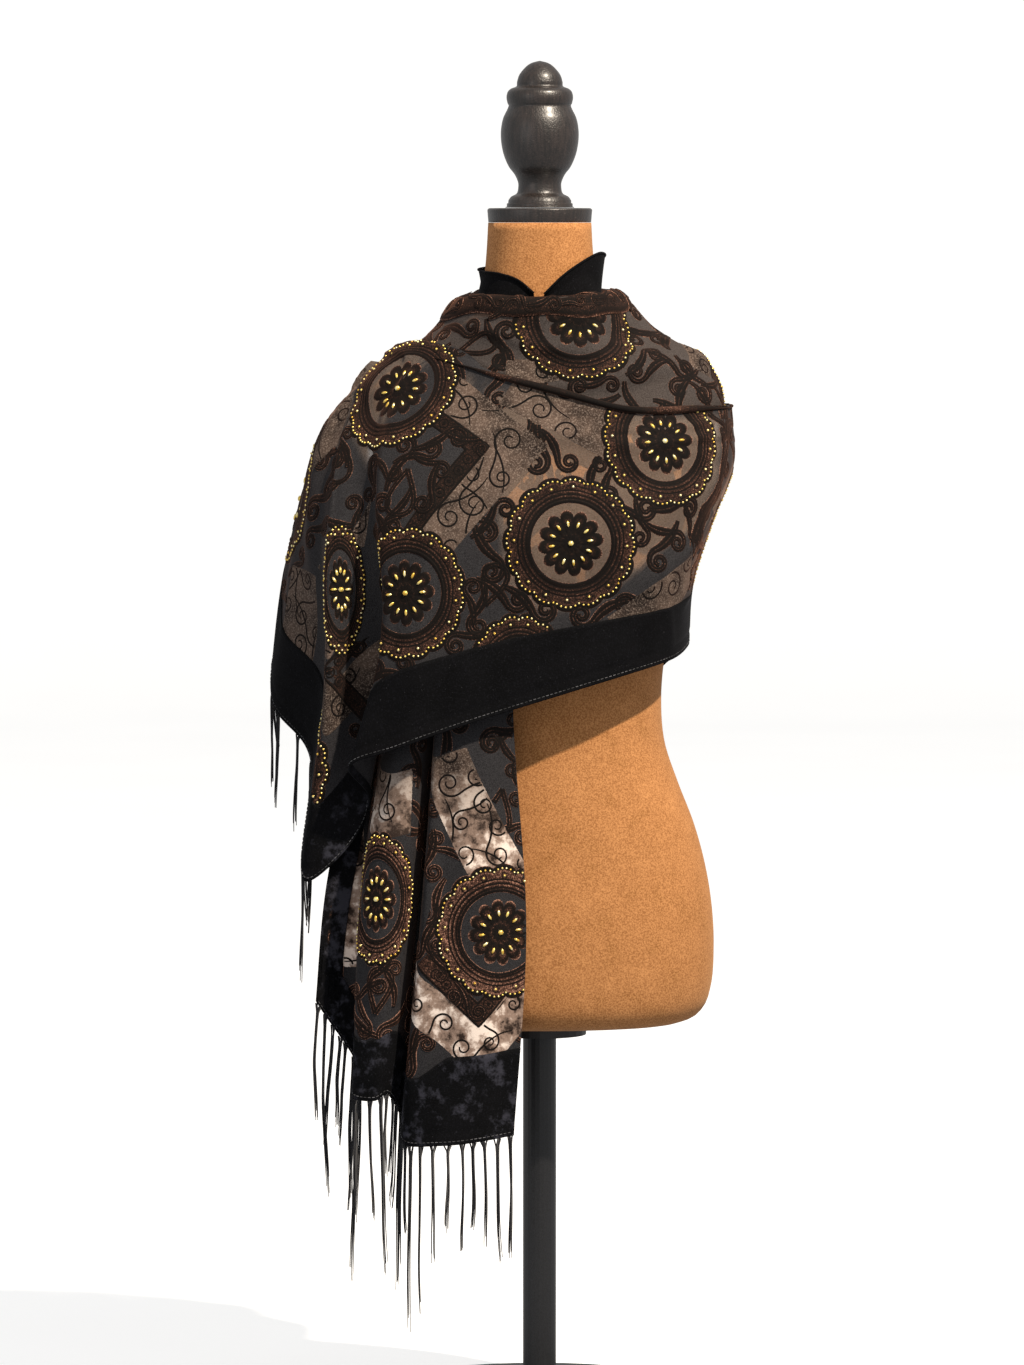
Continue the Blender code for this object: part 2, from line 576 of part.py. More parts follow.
def main():
    for old in list(bpy.data.objects):
        bpy.data.objects.remove(old)
    scene = bpy.context.scene.collection
    collection = bpy.data.collections.new("velvet_shawl_on_dress_form")
    scene.children.link(collection)

    suede = material("suede", (196, 128, 74), 0.85)
    black_wood = material("black_wood", (38, 34, 32), 0.35)
    black_metal = material("black_metal", (22, 22, 24), 0.4)
    velvet = material("velvet", (58, 42, 38), 0.8)
    black_velvet = material("black_velvet", (16, 15, 18), 0.85)
    thread = material("thread", (12, 12, 14), 0.7)

    form = add_form(collection, suede)
    add_stand(collection, black_metal)
    add_neck_cap(collection, black_wood)

    neck_wrap = lay_over(creased(draped(YOKE, 44, 9, closed=True), YOKE_FOLDS), form, SKIN_GAP)
    add_wall("neck_wrap", neck_wrap, NECK_CLOTH, velvet, collection, closed=True)
    yoke = surface(neck_wrap, closed=True)
    collar = lay_over(collar_grid(36, 4), form, COLLAR_GAP)
    add_wall("neck_edge", collar, NECK_CLOTH, black_velvet, collection)

    tail = creased(draped(TAIL, 34, 16), TAIL_FOLDS)
    tail = lay_over(lay_over(tail, form, SKIN_GAP), yoke, LAYER_GAP)
    tail = lay_over(carried_to(tail, neck_wrap[:, 0], SEAM_GAP), form, SKIN_GAP)
    add_wall("hanging_end", tail, CLOTH, velvet, collection)
    add_fringe("fringe_hanging_end", *fringe_line(tail, 0), TAIL_FRINGE, thread, collection)

    wrap = draped(WRAP, 81, 14)
    side = int(np.argmax(wrap[:, 0, 0]))
    back, front = creased(wrap[: side + 1], BACK_FOLDS), creased(wrap[side:], FRONT_FOLDS)
    wrap = np.concatenate([back, front[1:]])
    wrap = tuck_under(wrap, ROLL, ramp(wrap[:, 0, 0], UNROLLED, ROLLED))
    wrap = lay_over(lay_over(wrap, form, WRAP_SKIN_GAP), yoke, YOKE_GAP)
    back, wrap = parted(wrap, side)
    add_wall("back_panel", back, CLOTH, velvet, collection)
    wrap = lay_over(wrap, surface(tail), LAYER_GAP)
    wrap = lay_over(wrap, surface(back), BACK_GAP, wrap[..., 0] < 0)
    split = int(np.argmax(wrap[:, -1, 0] < PANEL_END))
    front, thrown = parted(wrap, split)
    add_wall("front_panel", front, CLOTH, velvet, collection)
    add_wall("thrown_end", thrown, CLOTH, velvet, collection)
    corner = int(np.argmin(thrown[:, -1, 2])) + 1
    add_fringe("fringe_thrown_end", *fringe_line(thrown, corner), END_FRINGE, thread, collection)


main()
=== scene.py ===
# %% [markdown]
# # A burnt-out velvet shawl on a dress form
#
# The shawl is one long rectangle of devoré velvet: a sheer georgette ground with a silk pile, and the
# pile is burnt away with a paste wherever the ground should show. What is left of it stands up as
# medallions, scrolls and bands. Gold beads are sewn along the medallions, all four sides have a plain
# black velvet border, and both short ends a fringe. It is wound round a suede-covered form.
#
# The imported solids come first, as a fixed frame. Every piece below is made in metres in that frame.

# %% The frame
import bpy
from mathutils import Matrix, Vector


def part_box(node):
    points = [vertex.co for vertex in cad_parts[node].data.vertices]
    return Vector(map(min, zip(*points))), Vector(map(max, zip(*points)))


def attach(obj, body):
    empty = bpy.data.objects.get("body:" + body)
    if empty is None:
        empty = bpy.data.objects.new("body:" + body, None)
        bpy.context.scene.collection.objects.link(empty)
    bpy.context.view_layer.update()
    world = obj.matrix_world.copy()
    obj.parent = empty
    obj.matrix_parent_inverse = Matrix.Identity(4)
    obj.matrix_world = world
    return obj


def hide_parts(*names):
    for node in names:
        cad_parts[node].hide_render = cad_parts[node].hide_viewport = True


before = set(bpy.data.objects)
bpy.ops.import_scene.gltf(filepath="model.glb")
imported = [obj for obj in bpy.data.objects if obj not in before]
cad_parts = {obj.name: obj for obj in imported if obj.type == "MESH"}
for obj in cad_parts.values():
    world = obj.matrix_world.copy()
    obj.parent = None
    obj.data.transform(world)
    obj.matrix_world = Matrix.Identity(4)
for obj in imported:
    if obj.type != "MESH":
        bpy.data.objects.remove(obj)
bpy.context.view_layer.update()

import math

import bmesh
import bpy
import numpy as np
from mathutils import Vector
from mathutils.bvhtree import BVHTree

MM = 0.001

# %% [markdown]
# ## Colours and nodes
#
# Paint and dye charts give colours as sRGB hex values, and the shaders work in linear light, so one
# function turns the first into the second. Another one adds a node with its settings and links, and
# all the materials are built with it. A pattern's size is given in millimetres, so its scale is one
# over that size.

# %% Colour and node helpers
def linear(code):
    """An sRGB hex colour, such as #C98F5C, as linear red, green, blue and alpha."""
    parts = [int(code[i:i + 2], 16) / 255 for i in (1, 3, 5)]
    return (*[c / 12.92 if c <= 0.04045 else ((c + 0.055) / 1.055) ** 2.4 for c in parts], 1.0)


def fill(tree, node, **inputs):
    """Fills or links a node's inputs, each named by its label or by n_ and its number. Hex turns linear."""
    for key, value in inputs.items():
        label = key.replace("_", " ")
        socket = node.inputs[int(label[2:]) if label.startswith("n ") else label]
        if isinstance(value, bpy.types.NodeSocket):
            tree.links.new(value, socket)
        else:
            socket.default_value = linear(value) if isinstance(value, str) else value


def add(tree, kind, settings=None, stops=(), ease=True, out=0, **inputs):
    """Adds a node of the kind, sets it, fills or links its inputs, and returns one of its outputs.

    The stops of a colour ramp are pairs of a place from 0 to 1 and a hex colour.
    """
    node = tree.nodes.new("ShaderNode" + kind)
    for key, value in (settings or {}).items():
        setattr(node, key, value)
    fill(tree, node, **inputs)
    if stops:
        elements = node.color_ramp.elements
        node.color_ramp.interpolation = "EASE" if ease else "LINEAR"
        while len(elements) < len(stops):
            elements.new(0.5)
        for element, (place, code) in zip(elements, stops):
            element.position = place
            element.color = linear(code)
    return node.outputs[out]


PLUS, TIMES, TIMES_PLUS = ({"operation": name} for name in ("ADD", "MULTIPLY", "MULTIPLY_ADD"))
BLEND = {"data_type": "RGBA"}      # a Mix node's colours are its inputs 6 and 7, and the blend its output 2


def new_material(name, **sockets):
    """A material with one Principled shader and its fixed values. Returns it, its tree and the shader."""
    made = bpy.data.materials.new(name)
    made.use_nodes = True
    tree = made.node_tree
    shader = tree.nodes["Principled BSDF"]
    fill(tree, shader, **sockets)
    return made, tree, shader

# %% [markdown]
# ## The camera
#
# The photograph was taken from far away and cut out, so it has hardly any perspective: the neck plate
# shows as a thin ellipse, which puts the camera about 3.5 degrees above the level. One pixel of the
# photo is 0.95 mm at the shawl.

# %% Camera
PHOTO_SIZE = (1024, 1365)
PIXEL = 0.95 * MM
PHOTO_AXIS, PHOTO_FLOOR = 540, 1425      # the pixels of the form's middle line and of the floor
CAMERA_DISTANCE = 7.0
CAMERA_RISE = math.radians(3.5)
FRONT_OF_FORM = 0.09                     # the scale is right this far in front of the axis
SENSOR = 36.0

target = Vector(((PHOTO_SIZE[0] / 2 - PHOTO_AXIS) * PIXEL, 0, (PHOTO_FLOOR - PHOTO_SIZE[1] / 2) * PIXEL))
camera_data = bpy.data.cameras.new("camera")
camera_data.sensor_width = SENSOR
camera_data.lens = SENSOR * (CAMERA_DISTANCE - FRONT_OF_FORM) / (PHOTO_SIZE[1] * PIXEL)
camera = bpy.data.objects.new("camera", camera_data)
camera.location = target + CAMERA_DISTANCE * Vector((0, -math.cos(CAMERA_RISE), math.sin(CAMERA_RISE)))
camera.rotation_euler = (target - camera.location).to_track_quat("-Z", "Y").to_euler()
bpy.context.scene.collection.objects.link(camera)
bpy.context.scene.camera = camera
print("lens", round(camera_data.lens), "mm")

# %% [markdown]
# ## Light and floor
#
# A warm, small key light from the upper right in front throws the hem's crisp shadow on the form. A
# wide soft light from the left and the pale surroundings fill the rest. The floor bends up into a low
# round wall, as a studio's cove does, so no horizon shows from any side. The cove glows a little, so
# that it comes out as white as the photo's background, and its white is kept from lighting the object,
# because that would wash out the shadows under the folds.

# %% Lights
KEY_PLACE, KEY_SIZE, KEY_POWER = (2.0, -2.25, 4.45), 0.12, 405
FILL_PLACE, FILL_SIZE, FILL_POWER = (-2.6, -3.0, 1.6), 2.4, 12
LIGHT_AIM = Vector((0, 0, 0.75))
ROOM_LIGHT = 0.50


def add_light(name, place, size, power, colour):
    """A square area light that points at the form's chest."""
    data = bpy.data.lights.new(name, "AREA")
    data.size = size
    data.energy = power
    data.color = linear(colour)[:3]
    light = bpy.data.objects.new(name, data)
    light.location = place
    light.rotation_euler = (LIGHT_AIM - Vector(place)).to_track_quat("-Z", "Y").to_euler()
    bpy.context.scene.collection.objects.link(light)


add_light("key_light", KEY_PLACE, KEY_SIZE, KEY_POWER, "#FFF1DE")
add_light("fill_light", FILL_PLACE, FILL_SIZE, FILL_POWER, "#FFFFFF")
world = bpy.data.worlds.new("white_room")
world.use_nodes = True
fill(world.node_tree, world.node_tree.nodes["Background"], Color="#FFFFFF", Strength=ROOM_LIGHT)
bpy.context.scene.world = world
bpy.context.scene.view_settings.view_transform = "Standard"

# %% Floor and round cove
COVE_RADIUS, COVE_BEND, COVE_TOP, COVE_SIDES, BEND_STEPS = 10.0, 1.6, 3.4, 96, 16
FLOOR_RINGS, COVE_GLOW = (0.02, 3.0), 0.46

cove_line = [(reach, 0.0) for reach in (*FLOOR_RINGS, COVE_RADIUS)]
for i in range(1, BEND_STEPS + 1):
    turn = math.radians(90 * i / BEND_STEPS)
    cove_line.append((COVE_RADIUS + COVE_BEND * math.sin(turn), COVE_BEND * (1 - math.cos(turn))))
cove_line.append((COVE_RADIUS + COVE_BEND, COVE_TOP))
cove_turns = [2 * math.pi * k / COVE_SIDES for k in range(COVE_SIDES)]
cove_points = [(reach * math.cos(turn), reach * math.sin(turn), z) for reach, z in cove_line for turn in cove_turns]
cove_faces = [(i * COVE_SIDES + k, i * COVE_SIDES + (k + 1) % COVE_SIDES,
               (i + 1) * COVE_SIDES + (k + 1) % COVE_SIDES, (i + 1) * COVE_SIDES + k)
              for i in range(len(cove_line) - 1) for k in range(COVE_SIDES)]
cove_mesh = bpy.data.meshes.new("round_cove")
cove_mesh.from_pydata(cove_points, [], cove_faces + [tuple(range(COVE_SIDES))])
cove_mesh.shade_smooth()
cove = bpy.data.objects.new("round_cove", cove_mesh)
bpy.context.scene.collection.objects.link(cove)
paper, tree, shader = new_material("white_paper", Roughness=0.9, Emission_Color="#FFFFFF",
                                   Emission_Strength=COVE_GLOW)
patches = add(tree, "TexNoise", Vector=add(tree, "TexCoord", out="Object"), Scale=1 / (400 * MM))
fill(tree, shader, Base_Color=add(tree, "ValToRGB", stops=((0.0, "#F4F4F3"), (1.0, "#FAFAF9")), Fac=patches))
cove_mesh.materials.append(paper)
cove.visible_diffuse = cove.visible_glossy = False      # its white lights nothing

# %% [markdown]
# ## Surfaces from sections
#
# A draped cloth or a padded torso has no flat faces to start from. What can be measured on it is a
# line here and there, so each surface is a short table of such lines, and a smooth sheet is drawn
# through all of them. Fine sheets through the same lines as the solids lie where the solids lie.

# %% Smooth sheets
def smooth(points, knots, at):
    """A smooth curve through rows of points at the values knots, read at the values at."""
    points, knots, at = (np.asarray(values, float) for values in (points, knots, at))
    shape = (-1,) + (1,) * (points.ndim - 1)
    step = np.diff(knots).reshape(shape)
    slope = np.diff(points, axis=0) / step
    tangent = np.empty_like(points)
    tangent[0], tangent[-1] = slope[0], slope[-1]
    before, after = step[:-1], step[1:]
    tangent[1:-1] = (slope[:-1] * after + slope[1:] * before) / (before + after)
    i = np.clip(np.searchsorted(knots, at, side="right") - 1, 0, len(knots) - 2)
    width = step[i]
    t = ((at - knots[i]).reshape(shape)) / width
    near, far = 2 * t**3 - 3 * t**2 + 1, 3 * t**2 - 2 * t**3
    leave, arrive = t**3 - 2 * t**2 + t, t**3 - t**2
    return near * points[i] + far * points[i + 1] + width * (leave * tangent[i] + arrive * tangent[i + 1])


def along(points):
    """How far each point lies along the line through them."""
    return np.concatenate([[0], np.cumsum(np.linalg.norm(np.diff(points, axis=0), axis=1))])


def evenly(points, count):
    """The smooth line through the points, as count points at equal distances."""
    knots = along(points)
    fine = smooth(points, knots, np.linspace(0, knots[-1], 12 * len(points)))
    reach = along(fine)
    at = np.linspace(0, reach[-1], count)
    return np.stack([np.interp(at, reach, fine[:, k]) for k in range(3)], axis=1)


def draped(sections, columns, rows, closed=False):
    """A grid of columns by rows points over the sections, a smooth sheet through all of them."""
    lines = [evenly(np.array(section, float) * MM, rows) for section in sections.values()]
    lines = np.array(lines[-3:] + lines + lines[:3] if closed else lines)
    steps = np.linalg.norm(np.diff(lines, axis=0), axis=2).mean(axis=1)
    knots = np.concatenate([[0], np.cumsum(steps)])
    if closed:
        first, last = knots[3], knots[-3]
        at = first + (last - first) * np.arange(columns) / columns
    else:
        at = np.linspace(knots[0], knots[-1], columns)
    return smooth(lines, knots, at)


def ramp(value, low, high):
    """Runs smoothly from 0 at the low value to 1 at the high one."""
    t = np.clip((value - low) / (high - low), 0, 1)
    return t * t * (3 - 2 * t)


def outward(grid):
    """The unit normals of a grid of points, facing away from the form."""
    normal = np.cross(np.gradient(grid, axis=0), np.gradient(grid, axis=1))
    return normal / np.maximum(np.linalg.norm(normal, axis=2, keepdims=True), 1e-12)


def sheet_faces(columns, rows, closed=False):
    """Four-sided faces of a grid of columns by rows points, facing away from the form."""
    i, k = np.meshgrid(np.arange(columns if closed else columns - 1), np.arange(rows - 1), indexing="ij")
    j = (i + 1) % columns
    faces = np.stack([i * rows + k, j * rows + k, j * rows + k + 1, i * rows + k + 1], axis=-1)
    return faces.reshape(-1, 4).tolist()


def surface(grid, closed=False):
    """A tree of the grid's faces, for laying the next cloth over it."""
    return BVHTree.FromPolygons(grid.reshape(-1, 3).tolist(), sheet_faces(*grid.shape[:2], closed))


LAY_PASSES, LAY_REACH, LAY_EDGE = 3, 0.030, 0.004


def lay_over(grid, under, gap, part=None):
    """The grid with each point at least the gap outside the surface under it.

    Beyond the edge of that surface a point stays where it is. The part is a mask of the points that
    may move.
    """
    flat = grid.reshape(-1, 3).copy()
    chosen = range(len(flat)) if part is None else np.flatnonzero(part.reshape(-1)).tolist()
    for _ in range(LAY_PASSES):
        for i in chosen:
            point = Vector(flat[i])
            near, normal, _, _ = under.find_nearest(point, LAY_REACH)
            if near is not None:
                away = point - near
                height = away.dot(normal)
                if height < gap and (away - normal * height).length < LAY_EDGE:
                    flat[i] += np.array(normal) * (gap - height)
    return flat.reshape(grid.shape)

# %% Objects from meshes
def add_object(name, mesh, finish):
    """Puts a mesh in the scene as a smooth piece that rides on the one body."""
    made = bpy.data.objects.new(name, mesh)
    mesh.materials.append(finish)
    mesh.shade_smooth()
    bpy.context.scene.collection.objects.link(made)
    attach(made, "root")
    return made


def store(mesh, key, values):
    """Keeps one number for each point under a name, which the shader reads."""
    field = mesh.attributes.new(key, "FLOAT", "POINT")
    field.data.foreach_set("value", np.asarray(values).astype(np.float32).ravel())


def add_sheet(name, grid, finish, slot, closed=False, **fields):
    """A single sheet of cloth, with one number for each point stored under the name of each field."""
    mesh = bpy.data.meshes.new(name)
    mesh.from_pydata(grid.reshape(-1, 3).tolist(), [], sheet_faces(*grid.shape[:2], closed))
    for key, values in fields.items():
        store(mesh, key, values)
    return add_object(name, mesh, finish)


def soften(thing, width, angle):
    """Rounds the edges that bend by more than the angle, in degrees."""
    edge = thing.modifiers.new("edge", "BEVEL")
    edge.width, edge.segments = width, 2
    edge.limit_method, edge.angle_limit = "ANGLE", math.radians(angle)

# %% [markdown]
# ## The form
#
# A padded form is moulded foam or shell under a fitted cover. It is lofted through level sections, and
# each section is a superellipse, which is a little fuller than an ellipse as a body is. The cover is
# brushed suede: warm tan, matt, with a short nap that has lighter and darker strokes.

# %% Suede
suede, tree, shader = new_material("brushed_tan_suede", Roughness=0.92, Sheen_Weight=0.25, Sheen_Roughness=0.5,
                                   Sheen_Tint="#D9AE84", Specular_IOR_Level=0.25)
place = add(tree, "TexCoord", out="Object")
strokes = add(tree, "TexNoise", Vector=place, Scale=1 / (26 * MM), Detail=3, Roughness=0.6)
nap = add(tree, "TexNoise", Vector=place, Scale=1 / (1.5 * MM), Detail=3, Roughness=0.65)
tufts = add(tree, "TexNoise", Vector=place, Scale=1 / (0.9 * MM), Detail=2)
tan = add(tree, "ValToRGB", stops=((0.25, "#95602F"), (0.5, "#A97040"), (0.75, "#BA7F4C")), Fac=strokes)
napped = add(tree, "ValToRGB", stops=((0.36, "#724722"), (0.64, "#CB935F")), Fac=nap)
height = add(tree, "Math", TIMES_PLUS, n_0=tufts, n_1=0.6, n_2=nap)
fill(tree, shader, Base_Color=add(tree, "Mix", BLEND, out=2, n_0=0.5, n_6=tan, n_7=napped),
     Normal=add(tree, "Bump", Height=height, Strength=0.35, Distance=0.5 * MM))

# %% Form
ROUNDNESS = 2.25
# Columns: height, half width, depth in front, depth behind; in millimetres
FORM = (
    (376, 115, 72, 80), (379, 136, 88, 98), (386, 152, 98, 109), (397, 160.5, 103, 114),
    (412, 165, 105, 117), (450, 168, 106, 118), (490, 166, 104, 116), (530, 159.5, 100, 110),
    (570, 148.5, 96, 101), (610, 133, 91, 91), (650, 120, 87, 82), (690, 117, 86, 79),
    (730, 120, 90, 82), (770, 126, 99, 88), (810, 133, 111, 94), (850, 141, 120, 99),
    (885, 149, 121, 102), (915, 157, 113, 103), (945, 166, 100, 102), (968, 171, 88, 97),
    (988, 168, 76, 90), (1004, 155, 67, 82), (1018, 133, 61, 76), (1030, 109, 58, 71),
    (1042, 86, 55, 66), (1055, 69, 53, 61), (1072, 59, 51, 57), (1095, 53.5, 50, 54),
    (1120, 51, 49.5, 51), (1147, 49.5, 49.5, 49.5),
)
FORM_AROUND, FORM_LEVELS = 96, 120


def form_grid():
    """Rings of points up the form: a grid of levels by places around it."""
    rows = np.array(FORM, float) * MM
    knots = along(rows[:, :3])
    section = smooth(rows, knots, np.linspace(0, knots[-1], FORM_LEVELS))
    turn = 2 * np.pi * np.arange(FORM_AROUND) / FORM_AROUND
    across, deep = np.sin(turn), -np.cos(turn)
    x = np.sign(across) * np.abs(across) ** (2 / ROUNDNESS) * section[:, 1:2]
    y = np.sign(deep) * np.abs(deep) ** (2 / ROUNDNESS)
    y = y * np.where(deep < 0, section[:, 2:3], section[:, 3:4])
    return np.stack([x, y, np.repeat(section[:, :1], FORM_AROUND, axis=1)], axis=-1)


rings = form_grid()
form_mesh = bpy.data.meshes.new("suede_form")
form_shape = bmesh.new()
loops = [[form_shape.verts.new(point) for point in ring] for ring in rings]
for lower, upper in zip(loops, loops[1:]):
    for i in range(FORM_AROUND):
        j = (i + 1) % FORM_AROUND
        form_shape.faces.new((lower[i], lower[j], upper[j], upper[i]))
form_shape.faces.new(list(reversed(loops[0])))
form_shape.faces.new(loops[-1])
form_shape.normal_update()
form_tree = BVHTree.FromBMesh(form_shape)
form_shape.to_mesh(form_mesh)
form_shape.free()
suede_form = add_object("suede_form", form_mesh, suede)
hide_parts("dress_form")
print("form", len(form_mesh.polygons), "faces")

# %% [markdown]
# ## The turned neck cap
#
# The plate and the finial are turned from a hardwood, stained black and sprayed with a satin lacquer
# that didn't quite flow out, so it has the fine dimples of an orange's skin and a few light scuffs, whose
# pale flecks are partly painted highlights.

# %% Lacquered wood
lacquer, tree, shader = new_material("black_lacquered_wood", Roughness=0.42, IOR=1.5, Coat_Weight=0.35,
                                     Coat_Roughness=0.26)
place = add(tree, "TexCoord", out="Object")
dimples = add(tree, "TexNoise", Vector=place, Scale=1 / (1.6 * MM), Detail=2)
stretched = add(tree, "Mapping", Vector=place, Scale=(1, 1, 0.12))
grain = add(tree, "TexNoise", Vector=stretched, Scale=1 / (2.5 * MM), Detail=4, Roughness=0.6)
stain = add(tree, "ValToRGB", stops=((0.3, "#15110F"), (0.7, "#2B2320")), Fac=grain)
# Pale flecks: partly scuffs in the lacquer, and partly painted highlights.
flecks = add(tree, "TexNoise", Vector=place, Scale=1 / (3.2 * MM), Detail=6, Roughness=0.8)
scuffs = add(tree, "ValToRGB", stops=((0.60, "#000000"), (0.72, "#FFFFFF")), Fac=flecks)
paler = add(tree, "Math", TIMES, n_0=scuffs, n_1=0.5)
fill(tree, shader, Base_Color=add(tree, "Mix", BLEND, out=2, n_0=paler, n_6=stain, n_7="#7A6E67"),
     Roughness=add(tree, "Math", TIMES_PLUS, n_0=scuffs, n_1=0.20, n_2=0.40),
     Normal=add(tree, "Bump", Height=dimples, Strength=0.7, Distance=0.6 * MM))

# %% Finial and plate
# Columns: radius, height; in millimetres, from the top down
FINIAL = (
    (0, 1301.8), (7.6, 1299.8), (13.4, 1296), (19.4, 1288.8), (21.8, 1281.8), (22.4, 1277.4),
    (27.5, 1275.2), (30.8, 1272), (31.9, 1266.6), (30.9, 1261.2), (29.9, 1258.8),
    (31.5, 1254.6), (34.8, 1247.8), (36.7, 1240), (37.4, 1230.8), (36.5, 1220.6), (34.1, 1210.6),
    (29.6, 1200.4), (24.3, 1193.4), (21.2, 1186.8), (20.6, 1181.6), (22, 1175.2), (27.4, 1172),
    (30.2, 1168.2), (30.2, 1165.8), (31.6, 1165.4), (31.6, 1162.4), (33, 1162), (33, 1161.4),
)
BEAD_ROWS, BEAD_STEPS = 24, 5      # the rows of the smooth bead, and the steps drawn between two of them
TURNED_STEPS, TURNED_EDGE, TURNED_ANGLE = 96, 0.4 * MM, 35


def add_turned(name, profile, finish):
    """A turned piece: the profile of radius and height runs top to bottom on its outer side."""
    mesh = bpy.data.meshes.new(name)
    points = [(radius, 0, height) for radius, height in profile]
    mesh.from_pydata(points, [(i, i + 1) for i in range(len(points) - 1)], [])
    made = add_object(name, mesh, finish)
    turn = made.modifiers.new("turn", "SCREW")
    turn.steps = turn.render_steps = TURNED_STEPS
    turn.use_merge_vertices = True
    turn.merge_threshold = 0.00001
    soften(made, TURNED_EDGE, TURNED_ANGLE)
    return made


bead = np.array(FINIAL[:BEAD_ROWS], float)
knots = np.arange(len(bead))
fine_line = smooth(bead, knots, np.linspace(0, knots[-1], BEAD_STEPS * (len(bead) - 1) + 1))
fine_line[0, 0] = 0
finial_line = [(max(r, 0) * MM, h * MM) for r, h in (*fine_line, *FINIAL[BEAD_ROWS:])]
finial_line.append((0, FINIAL[-1][1] * MM))
finial = add_turned("turned_finial", finial_line, lacquer)
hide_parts("finial")
plate_low, plate_high = (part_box("neck_plate")[k][2] for k in (0, 1))
PLATE_RADIUS, PLATE_EDGE = 50.3 * MM, 1.5 * MM
plate_line = [(0, plate_high), (PLATE_RADIUS - PLATE_EDGE, plate_high), (PLATE_RADIUS, plate_high - PLATE_EDGE),
              (PLATE_RADIUS - 1.0 * MM, plate_low), (0, plate_low)]
plate = add_turned("turned_neck_plate", plate_line, lacquer)
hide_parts("neck_plate")

# %% [markdown]
# ## The stand
#
# Below the photo's edge there has to be a stand. It is a plain steel pole on a round foot, powder
# coated black: an even satin skin with a very fine texture. The solids already have its shape, so
# they stay, and only get the finish and a softened edge.

# %% Stand
STAND_EDGE, STAND_ANGLE = 0.0008, 40

powder_coat, tree, shader = new_material("black_powder_coat", Roughness=0.45, IOR=1.5)
texture = add(tree, "TexNoise", Vector=add(tree, "TexCoord", out="Object"), Scale=1 / (1.1 * MM), Detail=2,
              Roughness=0.6)
fill(tree, shader, Base_Color=add(tree, "ValToRGB", stops=((0.3, "#111113"), (0.7, "#1F1F22")), Fac=texture),
     Normal=add(tree, "Bump", Height=texture, Strength=0.3, Distance=0.3 * MM))
for name in ("stand_pole", "stand_foot", "stand_collar"):
    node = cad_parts[name]
    node.material_slots[0].material = powder_coat
    soften(node, STAND_EDGE, STAND_ANGLE)

# %% [markdown]
# ## The shawl's four stretches
#
# The shawl is wound, so four stretches of it show: round the neck, the black edge that stands up
# there, the end that hangs down in front, and the wide wrap that crosses the chest and is thrown over
# the left shoulder. Velvet is heavy and slides, so it lies in long, uneven folds. A cloth simulation
# gives even, nameless ones, and the folds of this one have places, so every fold line is a table row.

# %% Fold lines of the wrap
# Columns, each x, y and z in millimetres: top, cap, mid, low, hem
WRAP = {
    "left_side": ((-157, 18, 982), (-176, 16, 938), (-188, 18, 865), (-184, 22, 785), (-180, 24, 700)),
    "left_back": ((-140, 62, 988), (-160, 66, 940), (-166, 78, 865), (-156, 84, 780), (-150, 84, 690)),
    "left_blade": ((-94, 86, 1010), (-112, 104, 950), (-116, 117, 870), (-106, 120, 775), (-100, 118, 672)),
    "left_pleat": ((-48, 100, 1024), (-54, 118, 966), (-55, 125, 880), (-48, 120, 775), (-46, 115, 660)),
    "middle": ((0, 99, 1036), (0, 121, 975), (2, 135, 888), (2, 137, 770), (2, 132, 654)),
    "right_pleat": ((52, 103, 1024), (58, 121, 966), (56, 127, 880), (50, 122, 775), (52, 118, 668)),
    "right_blade": ((100, 101, 1002), (110, 117, 950), (104, 127, 868), (93, 126, 778), (92, 122, 690)),
    "right_back": ((160, 58, 976), (170, 76, 925), (152, 92, 860), (133, 97, 790), (128, 95, 723)),
    "right_side": ((184, 4, 971), (187, 4, 918), (166, 2, 860), (147, 0, 800), (143, -2, 743)),
    "right_front": ((155, -62, 970), (160, -79, 915), (143, -92, 850), (130, -92, 790), (124, -80, 732)),
    "chest_right": ((84, -102, 970), (88, -115, 915), (87, -128, 850), (83, -124, 785), (79, -117, 719)),
    "chest_middle": ((20, -104, 986), (24, -120, 930), (26, -136, 862), (25, -134, 780), (25, -130, 703)),
    "chest_left": ((-38, -98, 1001), (-38, -120, 940), (-36, -139, 865), (-32, -139, 775), (-28, -136, 687)),
    "bust_left": ((-77, -80, 1012), (-84, -112, 950), (-88, -139, 870), (-86, -144, 770), (-85, -142, 669)),
    "under_arm": ((-106, -52, 1019), (-124, -93, 955), (-130, -129, 875), (-134, -143, 765), (-138, -142, 650)),
    "first_fold": ((-122, -34, 1020), (-146, -75, 958), (-150, -119, 868), (-151, -136, 745), (-180, -131, 634)),
    "first_valley": ((-130, -24, 1020), (-156, -63, 956), (-158, -100, 862), (-141, -100, 742), (-162, -96, 600)),
    "second_flank": ((-137, -16, 1019), (-166, -53, 955), (-172, -91, 860), (-172, -93, 732), (-178, -92, 560)),
    "second_fold": ((-143, -9, 1018), (-178, -44, 954), (-193, -88, 856), (-198, -111, 716), (-220, -88, 521)),
    "second_valley": ((-147, -1, 1017), (-190, -30, 953), (-208, -60, 858), (-204, -68, 735), (-219, -56, 636)),
    "outer_side": ((-149, 14, 1015), (-206, 2, 955), (-235, -2, 854), (-249, -4, 762), (-257, -2, 688)),
    "back_flare": ((-143, 44, 1015), (-194, 52, 962), (-222, 60, 890), (-233, 63, 842), (-238, 65, 800)),
    "back_slope": ((-128, 66, 1018), (-160, 84, 985), (-180, 95, 955), (-190, 100, 930), (-196, 103, 905)),
    "end_corner": ((-108, 82, 1022), (-120, 92, 1010), (-131, 99, 998), (-139, 104, 987), (-146, 107, 977)),
}

